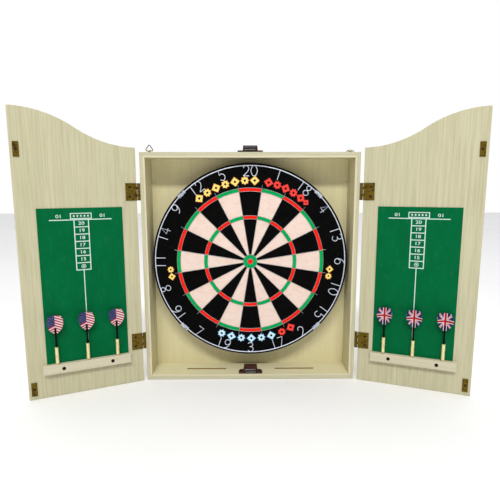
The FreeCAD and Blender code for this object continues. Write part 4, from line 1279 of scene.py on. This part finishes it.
def span_of(node, place):
    """Corners of a whole node in a place's own frame."""
    boxes = solids_in(node, place)
    low = Vector([min(box[0][axis] for box in boxes) for axis in range(3)])
    high = Vector([max(box[1][axis] for box in boxes) for axis in range(3)])
    return low, high


def ogee(run, rise, steps=18):
    """Two equal tangent arcs that climb a rise over a run, level at both ends, as (along, up)."""
    half_run, half_rise = run / 2, rise / 2
    radius = (half_run**2 + half_rise**2) / (2 * half_rise)
    sweep = math.asin(half_run / radius)
    turns = [sweep * step / steps for step in range(steps + 1)]
    hollow = [(radius * math.sin(turn), radius * (1 - math.cos(turn))) for turn in turns]
    crest = [(run - along, rise - up) for along, up in reversed(hollow[:-1])]
    return hollow + crest


hinge_edge_rise = 9 * MM
top_of_hinge_edge = box_high.z + hinge_edge_rise
for side, sign in door_signs.items():
    place = door_places[side]
    low, high = span_of(f"{side}_door_panel", place)
    near, far = sorted((low.x, high.x), key=abs)
    edge = ogee(abs(far - near), high.z - top_of_hinge_edge)
    outline = [(far, low.z), (near, low.z)]
    outline += [(near + sign * along, top_of_hinge_edge + up) for along, up in edge]
    finished(
        f"{side}_door_board", placed(slab(outline, low.y, high.y), place), [foil_upright],
        body_of(f"{side}_door_panel"), [f"{side}_door_panel"], 0.8 * MM, 3, 40,
    )


# ---- Scoreboards -------------------------------------------------------------------------------------
# A thin sheet of hardboard painted chalkboard green is fixed to each door. The scoring chart is
# printed in white: a heading panel over a rule, a box for each number, and a line down to the foot.

score_paint = Finish("scoreboard_green", 0.7, gloss=0.04)
chalk_haze = score_paint.clouds((34, 34, 20), detail=6.0, roughness=0.7)
smudge = score_paint.clouds((170, 170, 60), detail=5.0)
tooth = score_paint.clouds((1300, 1300, 1300), detail=3.0)
greens = [(0.3, tint(0, 95, 51)), (0.55, tint(0, 101, 56)), (0.75, tint(2, 106, 60))]
wiped = score_paint.spread(smudge, 0.0, 0.03, 0.55, 0.8)
score_paint.colour(score_paint.mix(wiped, score_paint.ramp(chalk_haze, greens), tint(150, 190, 165)))
score_paint.roughness(smudge, 0.52, 0.72)
score_paint.relief(tooth, 0.06, 0.5)

score_ink = Finish("score_print", 0.6, gloss=0.1)
cover = score_ink.clouds((900, 900, 900), detail=4.0)
thinned = score_ink.spread(cover, 0.0, 0.5, 0.5, 0.8)
score_ink.colour(score_ink.mix(thinned, tint(206, 228, 220), tint(156, 198, 182)))
score_ink.relief(cover, 0.05)

print_height = 0.1 * MM
line_width = 2.0 * MM
cell_width = 30.6 * MM
cell_height = 15.4 * MM
heading_drop, heading_half, heading_height, heading_line = 10.7 * MM, 21.5 * MM, 12.6 * MM, 1.8 * MM
pip_half, pip_margin, pip_pitch = 2.1 * MM, 3.6 * MM, 7 * MM
rule_gap, rule_half = 0.6 * MM, 62 * MM
figure_size, start_score_offset, start_score_rise = 10.4 * MM, 43.5 * MM, 6.6 * MM
centre_line_half, centre_line_foot = 0.9 * MM, 0.4 * MM
bull_rings = ((4.6 * MM, 3.4 * MM), (1.7 * MM, 0))
scored_numbers = ("20", "19", "18", "17", "16", "15")


def ruled(x0, x1, z0, z1, y):
    """A printed bar."""
    return brick((x0, y - print_height, z0), (x1, y, z1))


def lettered(text, size, x, z, y):
    """Printed figures, centred on a point."""
    curve = bpy.data.curves.new("figures", "FONT")
    curve.body = text
    curve.size = size
    curve.align_x = "CENTER"
    curve.align_y = "CENTER"
    curve.extrude = print_height / 2
    curve.offset = 0.12 * MM
    curve.resolution_u = 3
    host = bpy.data.objects.new("figures", curve)
    scene.collection.objects.link(host)
    figures = taken_off(host)
    upright = Matrix.Translation((x, y - print_height / 2, z)) @ onto_its_back
    return placed(figures, upright @ Matrix.Diagonal((1.22, 0.95, 1, 1)))


def boxed(x0, x1, z0, z1, y, width):
    """Four printed bars round a box."""
    return [
        ruled(x0, x1, z0, z0 + width, y), ruled(x0, x1, z1 - width, z1, y),
        ruled(x0, x0 + width, z0 + width, z1 - width, y), ruled(x1 - width, x1, z0 + width, z1 - width, y),
    ]


for side, place in door_places.items():
    low, high = span_of(f"{side}_scoreboard", place)
    finished(f"{side}_scoreboard_sheet", placed(brick(low, high), place), [score_paint.material],
             body_of(f"{side}_scoreboard"), [f"{side}_scoreboard"], 0.3 * MM)
    middle = (low.x + high.x) / 2
    face = low.y
    heading_top = high.z - heading_drop
    heading_foot = heading_top - heading_height
    heading_middle = (heading_top + heading_foot) / 2
    rule_top = heading_foot - rule_gap
    chart = boxed(middle - heading_half, middle + heading_half, heading_foot, heading_top, face, heading_line)
    for step in (-2, -1, 0, 1, 2):
        spot = middle + step * pip_pitch
        lozenge = [(spot - pip_half, heading_middle), (spot, heading_foot + pip_margin),
                   (spot + pip_half, heading_middle), (spot, heading_top - pip_margin)]
        chart.append(slab(lozenge, face - print_height, face))
    chart.append(ruled(middle - rule_half, middle + rule_half, rule_top - line_width, rule_top, face))
    for step in (-1, 1):
        chart.append(lettered(
            "01", figure_size, middle + step * start_score_offset, rule_top + start_score_rise, face
        ))
    column_top = rule_top - line_width
    cell_left, cell_right = middle - cell_width / 2, middle + cell_width / 2
    column_foot = column_top - cell_height * (len(scored_numbers) + 1)
    for x in (cell_left, cell_right - line_width):
        chart.append(ruled(x, x + line_width, column_foot, column_top, face))
    for index in range(len(scored_numbers) + 1):
        cell_top = column_top - cell_height * index
        foot = cell_top - cell_height
        chart.append(ruled(cell_left + line_width, cell_right - line_width, foot, foot + line_width, face))
        cell_middle = (cell_top + foot + line_width) / 2
        if index < len(scored_numbers):
            chart.append(lettered(scored_numbers[index], figure_size, middle, cell_middle, face))
        else:
            for outer, inner in bull_rings:
                profile = [(inner, 0), (outer, 0), (outer, print_height), (inner, print_height)]
                eye = turned_ring(profile + profile[:1] if inner else profile, 32)
                chart.append(placed(eye, Matrix.Translation((middle, face, cell_middle)) @ onto_its_back))
    line_foot = low.z + centre_line_foot
    chart.append(ruled(middle - centre_line_half, middle + centre_line_half, line_foot, column_foot, face))
    finished(f"{side}_score_chart", placed(assembled(*chart), place), [score_ink.material],
             body_of(f"{side}_scoreboard"), turn=60)


# ---- Dart rails --------------------------------------------------------------------------------------
# A small foil-wrapped batten under each scoreboard, bored with three slightly leaning holes for
# the darts' points and held by two black screws.

hole_radius = 2.0 * MM
drill_reach, drill_rise = 80 * MM, 5 * MM
rail_head, rail_head_rise, rail_screw_length = 3.8 * MM, 1.4 * MM, 10 * MM
dart_places = {}
for side, place in door_places.items():
    low, high = span_of(f"{side}_dart_rail", place)
    square_to_door = -place.to_euler().z
    rail_foil = foil(
        f"{side}_rail_foil", [(214, 206, 180), (209, 201, 173), (198, 189, 160)], x_way, square_to_door, 0.7
    )
    batten = brick(low, high)
    drills = []
    for index in (1, 2, 3):
        joint = next(row for row in frame["joints"] if row["name"] == f"{side}_dart_{index}_draw")
        way = Vector(joint["axis"]).normalized()
        across = place.to_3x3() @ Vector((1, 0, 0))
        behind = way.cross(across).normalized()
        axes = Matrix((across, behind, way)).transposed().to_4x4()
        shaft_low, shaft_high = span_of(f"{side}_dart_{index}_shaft", axes)
        barrel_high = span_of(f"{side}_dart_{index}_barrel", axes)[1]
        shaft_middle = (shaft_low + shaft_high) / 2
        origin = Vector((shaft_middle.x, shaft_middle.y, barrel_high.z))
        dart_places[side, index] = axes @ Matrix.Translation(origin)
        drill = turned(
            [(0, -drill_reach), (hole_radius, -drill_reach), (hole_radius, drill_rise), (0, drill_rise)], 24
        )
        drills.append(placed(drill, place.inverted() @ dart_places[side, index]))
    batten = cut_away(batten, assembled(*drills))
    finished(f"{side}_rail_batten", placed(batten, place), [rail_foil], body_of(f"{side}_dart_rail"),
             [f"{side}_dart_rail"], 0.35 * MM, 2)
    rail_screws = f"{side}_rail_screws"
    set_screws_in(f"{rail_screws}_set", rail_screws, body_of(rail_screws), black_screw,
                  seats_on(rail_screws, (0, -1, 0), rail_head_rise, place),
                  rail_head, rail_head_rise, rail_screw_length)


# ---- Door hinge leaves, strike plates and their screws -------------------------------------------
# The other leaf of each hinge lies on the door's inner face, with the second and fourth knuckles.
# A brass strike plate near each free corner meets the catch's poles when the door is shut.

strike_rise = 0.5 * MM
door_screw_length = 8 * MM
same_hinge = 10 * MM
between_hinge_and_strike = 120 * MM
for side, sign in door_signs.items():
    place = door_places[side]
    inner_face = span_of(f"{side}_scoreboard", place)[1].y
    pieces = []
    for low, high in solids_in(f"{side}_hinge_leaves", place):
        far = max(low.x, high.x, key=abs)
        start = sign * (knuckle_radius + leaf_clearance)
        xs = sorted((start, far))
        pieces.append(brick((xs[0], inner_face - leaf_thickness, low.z), (xs[1], inner_face, high.z)))
        middle_z = (low.z + high.z) / 2
        hinge_foot, hinge_top = next(
            row[2:] for row in hinge_middles[side] if abs((row[2] + row[3]) / 2 - middle_z) < same_hinge
        )
        for foot, top in knuckle_heights(hinge_foot, hinge_top, (1, 3)):
            pieces.append(knuckle(0, 0, foot, top))
            xs = sorted((0, start + sign * weld_lap))
            pieces.append(brick((xs[0], inner_face - leaf_thickness, foot), (xs[1], inner_face, top)))
    finished(f"{side}_hinge_door_leaves", placed(assembled(*pieces), place), [antique_brass.material],
             body_of(f"{side}_hinge_leaves"), [f"{side}_hinge_leaves"], 0.3 * MM)
    strikes = [brick(low, high) for low, high in solids_in(f"{side}_strike_plates", place)]
    finished(f"{side}_strikes", placed(assembled(*strikes), place), [antique_brass.material],
             body_of(f"{side}_strike_plates"), [f"{side}_strike_plates"], 0.4 * MM, 3)
    brass_screws = f"{side}_brass_screws"
    halfway = (place @ Vector((sign * between_hinge_and_strike, 0, 0))) - place.translation
    for spot_name, rise, far_side in (("hinge", small_rise, False), ("strike", strike_rise, True)):
        seats = [
            seat for seat in seats_on(brass_screws, (0, -1, 0), rise, place)
            if ((seat[0] - place.translation).dot(halfway) > halfway.length_squared) == far_side
        ]
        set_screws_in(f"{side}_{spot_name}_screws_set", brass_screws, body_of(brass_screws), dark_brass,
                      seats, small_head, rise, door_screw_length)


# ---- Darts ------------------------------------------------------------------------------------------
# Turned brass barrels with fine grip grooves, ground steel points, black nylon shafts whose split top
# grips a folded flight of printed film. The left three are striped, the right three crossed.

barrel_length = 39 * MM
barrel_radius = 3.7 * MM
shaft_radius = 2.5 * MM
shaft_length = 42 * MM
flight_foot = 30 * MM
flight_height = 40 * MM
flight_reach = 18 * MM
film_half = 0.16 * MM
fold_radius = 0.42 * MM
wing_angle = math.radians(27)

barrel_brass = coating(
    "dart_brass", (0.34, 0.55), (260, 260, 90), 5.0,
    [(0.3, (228, 208, 142)), (0.55, (246, 234, 180)), (0.75, (236, 220, 160))], (0.22, 0.42),
)
point_steel = coating(
    "point_steel", (0.22, 1.0), (40, 40, 3800), 2.0, [(0.3, (150, 147, 136)), (0.7, (196, 192, 178))],
    bump=(0.02, 0.5),
)
nylon = coating(
    "dart_nylon", (0.42, 0.0, 0.08), (500, 500, 60), 3.0, [(0.3, (3, 3, 4)), (0.7, (9, 9, 10))],
    (0.34, 0.55), (0.05,),
)


def film(name):
    """Printed polyester film: faint creases and a fine pressed texture."""
    finish = Finish(name, 0.36, gloss=0.25)
    finish.relief(finish.clouds((1600, 1600, 1600), detail=2.0), 0.05, 0.5)
    spot = finish.step("SeparateXYZ", {"Vector": finish.where(kind="UV")})
    return finish, spot.outputs["X"], spot.outputs["Y"]


def within(finish, value, centre_value, half):
    """1 where a value is near a centre, else 0."""
    away = finish.maths("ABSOLUTE", finish.maths("SUBTRACT", value, centre_value))
    return finish.maths("LESS_THAN", away, half)


white_film, red_film, navy_film = tint(226, 212, 216), tint(172, 10, 32), tint(20, 22, 84)

stripes, across, up = film("flight_stripes")
outward_share = stripes.maths("ABSOLUTE", stripes.maths("SUBTRACT", across, 0.5))
folded_up = stripes.maths("ADD", up, stripes.maths("MULTIPLY", outward_share, 0.24))
bar = stripes.maths("FRACT", stripes.maths("MULTIPLY", folded_up, 7.0))
striped = stripes.mix(stripes.maths("LESS_THAN", bar, 0.52), white_film, red_film)
left_half_of_wing = stripes.maths("LESS_THAN", across, 0.5)
corner = stripes.maths("MULTIPLY", left_half_of_wing, stripes.maths("GREATER_THAN", folded_up, 0.5))
dot_column, dot_row = stripes.maths("MULTIPLY", across, 15.0), stripes.maths("MULTIPLY", up, 13.0)
dot_grid = stripes.step("CombineXYZ", {"X": dot_column, "Y": dot_row})
dots = stripes.step("TexVoronoi", {"Vector": dot_grid.outputs["Vector"], "Scale": 1.0, "Randomness": 0.0})
in_dot = stripes.maths("LESS_THAN", dots.outputs["Distance"], 0.17)
dotted = stripes.mix(in_dot, navy_film, tint(170, 176, 224))
stripes.colour(stripes.mix(corner, striped, dotted))
stripes.roughness(stripes.clouds((300, 300, 300)), 0.28, 0.42)

crossed, across, up = film("flight_crosses")
middle_across, middle_up = 0.5, 0.56
sideways = crossed.maths("ABSOLUTE", crossed.maths("SUBTRACT", across, middle_across))
upwards = crossed.maths("ABSOLUTE", crossed.maths("SUBTRACT", up, middle_up))
diagonal = crossed.maths("ABSOLUTE", crossed.maths("SUBTRACT", sideways, upwards))


def crossed_over(ground, upright_half, level_half, colour):
    """An upright and a level bar printed over a ground."""
    upright = within(crossed, across, middle_across, upright_half)
    level = within(crossed, up, middle_up, level_half)
    return crossed.mix(crossed.maths("MAXIMUM", upright, level), ground, colour)


with_white_bars = crossed.mix(crossed.maths("LESS_THAN", diagonal, 0.075), navy_film, white_film)
with_red_bars = crossed.mix(crossed.maths("LESS_THAN", diagonal, 0.034), with_white_bars, tint(214, 84, 100))
with_white_cross = crossed_over(with_red_bars, 0.115, 0.095, white_film)
crossed.colour(crossed_over(with_white_cross, 0.07, 0.055, red_film))
crossed.roughness(crossed.clouds((300, 300, 300)), 0.28, 0.42)

flight_finishes = {
    "left": (stripes.material, "flight_stripes"), "right": (crossed.material, "flight_crosses"),
}


groove_pitch = 3.0 * MM
groove_profile = ((0, 0), (0.25, 0.1), (0.55, 0.13), (0.85, 0.1), (1.1, 0))
point_radius, point_length = 1.15 * MM, 31.5 * MM


def barrel_and_point():
    """Barrel profile from nose to tail, with round-bottomed grip grooves, its top at height 0."""
    profile = [(0, -barrel_length), (1.5 * MM, -barrel_length), (2.6 * MM, -barrel_length + 0.6 * MM),
               (barrel_radius, -barrel_length + 4.5 * MM)]
    first = -barrel_length + 8 * MM
    for groove in range(8):
        foot = first + groove * groove_pitch
        profile += [(barrel_radius - depth * MM, foot + along * MM) for along, depth in groove_profile]
    profile += [(barrel_radius, -1.0 * MM), (barrel_radius - 0.4 * MM, 0), (0, 0)]
    barrel = turned(profile, 36)
    tip = -barrel_length - point_length
    seat = -barrel_length + 1 * MM
    point_profile = [
        (0, tip), (0.35 * MM, tip + 1.2 * MM), (point_radius, tip + 9 * MM), (point_radius, seat), (0, seat)
    ]
    point = turned(point_profile, 20)
    for face in point.faces:
        face.material_index = 1
    return assembled(barrel, point)


def split_shaft():
    """Shaft with a small collar, its top sawn crosswise to take the flight's four wings."""
    profile = [
        (0, 0.02 * MM), (2.1 * MM, 0.02 * MM), (shaft_radius, 0.8 * MM), (shaft_radius, 3 * MM),
        (2.15 * MM, 4.5 * MM), (1.95 * MM, 18 * MM), (2.2 * MM, 28 * MM), (shaft_radius, 31 * MM),
        (shaft_radius, shaft_length - 0.5 * MM), (shaft_radius - 0.4 * MM, shaft_length), (0, shaft_length),
    ]
    rod = turned(profile, 24)
    saw_half = 0.28 * MM
    for angle in (wing_angle, -wing_angle):
        saw = brick((-5 * MM, -saw_half, flight_foot), (5 * MM, saw_half, shaft_length + 5 * MM))
        rod = cut_away(rod, placed(saw, Matrix.Rotation(angle, 4, "Z")))
    return rod


def wing(angle, hand):
    """One wing of a flight, a thin sheet whose edge sweeps out and rounds in at the top."""
    shape = [
        (0.015, 0.0), (0.11, 0.0), (0.24, 0.035), (0.45, 0.12), (0.66, 0.23), (0.84, 0.36), (0.95, 0.48),
        (1.0, 0.6), (0.99, 0.7), (0.93, 0.79), (0.82, 0.87), (0.66, 0.935), (0.47, 0.98), (0.3, 1.0),
        (0.015, 1.0),
    ]
    outline = [(x * flight_reach, z * flight_height) for x, z in shape]
    sheet = slab(outline, -film_half, film_half)
    layout = sheet.loops.layers.uv.new("print")
    for face in sheet.faces:
        for loop in face.loops:
            spot = loop.vert.co
            loop[layout].uv = (0.5 + hand * spot.x / (2 * flight_reach), spot.z / flight_height)
    return placed(sheet, Matrix.Translation((0, 0, flight_foot)) @ Matrix.Rotation(angle, 4, "Z"))


shaft_mesh = split_shaft()
for (side, index), place in dart_places.items():
    dart = f"{side}_dart_{index}"
    body = body_of(f"{dart}_barrel")
    finished(f"{dart}_turned_barrel", placed(barrel_and_point(), place), [barrel_brass, point_steel],
             body, [f"{dart}_barrel"], turn=50)
    finished(f"{dart}_split_shaft", placed(shaft_mesh.copy(), place), [nylon], body,
             [f"{dart}_shaft"])
    fold = turned([(0, 0), (fold_radius, 0), (fold_radius, flight_height), (0, flight_height)], 12)
    layout = fold.loops.layers.uv.new("print")
    for face in fold.faces:
        for loop in face.loops:
            loop[layout].uv = (0.5, loop.vert.co.z / flight_height)
    wings = [
        placed(fold, Matrix.Translation((0, 0, flight_foot))), wing(-wing_angle, 1), wing(wing_angle, 1),
        wing(math.pi + wing_angle, -1), wing(math.pi - wing_angle, -1),
    ]
    finish, slot = flight_finishes[side]
    flight = placed(assembled(*wings), place)
    finished(f"{dart}_film_flight", flight, [finish], body, [f"{dart}_flight"])
shaft_mesh.free()


# ---- Studio ------------------------------------------------------------------------------------------
# A plain pale floor under the cabinet, a white room, and large soft lamps above and in front.

floor_mesh = bpy.data.meshes.new("studio_floor")
floor_z = cad_low.z - 0.5 * MM
reach_out = 6.0
floor_corners = [(x * reach_out, y * reach_out, floor_z) for x, y in ((-1, -1), (1, -1), (1, 1), (-1, 1))]
floor_mesh.from_pydata(floor_corners, [], [(0, 1, 2, 3)])
floor = bpy.data.objects.new("studio_floor", floor_mesh)
scene.collection.objects.link(floor)
floor_paint = coating("studio_floor", (0.9,), 2, 4.0, [(0.3, (246, 246, 246)), (0.7, (250, 250, 250))])
floor_mesh.materials.append(floor_paint)

room = bpy.data.worlds.new("white_room")
room.use_nodes = True
walls = room.node_tree
look = walls.nodes.new("ShaderNodeTexCoord")
parts_of_look = walls.nodes.new("ShaderNodeSeparateXYZ")
look_links = {"Y": (-0.15, 0.4, 0.08, 1.0), "Z": (0.35, 0.9, 0.0, 0.78)}
room_light = walls.nodes.new("ShaderNodeMath")
walls.links.new(look.outputs["Generated"], parts_of_look.inputs["Vector"])
for entry, (axis, (start, end, dim, bright)) in enumerate(look_links.items()):
    fade = walls.nodes.new("ShaderNodeMapRange")
    for key, value in (("From Min", start), ("From Max", end), ("To Min", dim), ("To Max", bright)):
        fade.inputs[key].default_value = value
    walls.links.new(parts_of_look.outputs[axis], fade.inputs["Value"])
    walls.links.new(fade.outputs["Result"], room_light.inputs[entry])
room_light.use_clamp = True
walls.links.new(room_light.outputs["Value"], walls.nodes["Background"].inputs["Strength"])
walls.nodes["Background"].inputs["Color"].default_value = (1, 1, 1, 1)
scene.world = room


def soft_lamp(name, spot, wide, tall, power):
    """A rectangular soft box turned towards the board."""
    lamp = bpy.data.lights.new(name, "AREA")
    lamp.shape = "RECTANGLE"
    lamp.size = wide
    lamp.size_y = tall
    lamp.energy = power
    holder = bpy.data.objects.new(name, lamp)
    holder.location = spot
    holder.rotation_euler = (-Vector(spot)).to_track_quat("-Z", "Y").to_euler()
    scene.collection.objects.link(holder)


soft_lamp("key_lamp", (-0.1, -3.0, 3.0), 2.4, 0.4, 112)
soft_lamp("fill_lamp", (0.3, -3.4, 1.9), 3.0, 0.6, 3)

camera = bpy.data.cameras.new("camera")
camera.lens = 31.34
camera.sensor_width = 36
camera_holder = bpy.data.objects.new("camera", camera)
camera_holder.location = (-0.0095, -1.0530, 0.1928)
camera_holder.rotation_euler = (math.radians(81.44), math.radians(0.08), math.radians(-0.52))
scene.collection.objects.link(camera_holder)
scene.camera = camera_holder
scene.view_settings.view_transform = "Standard"
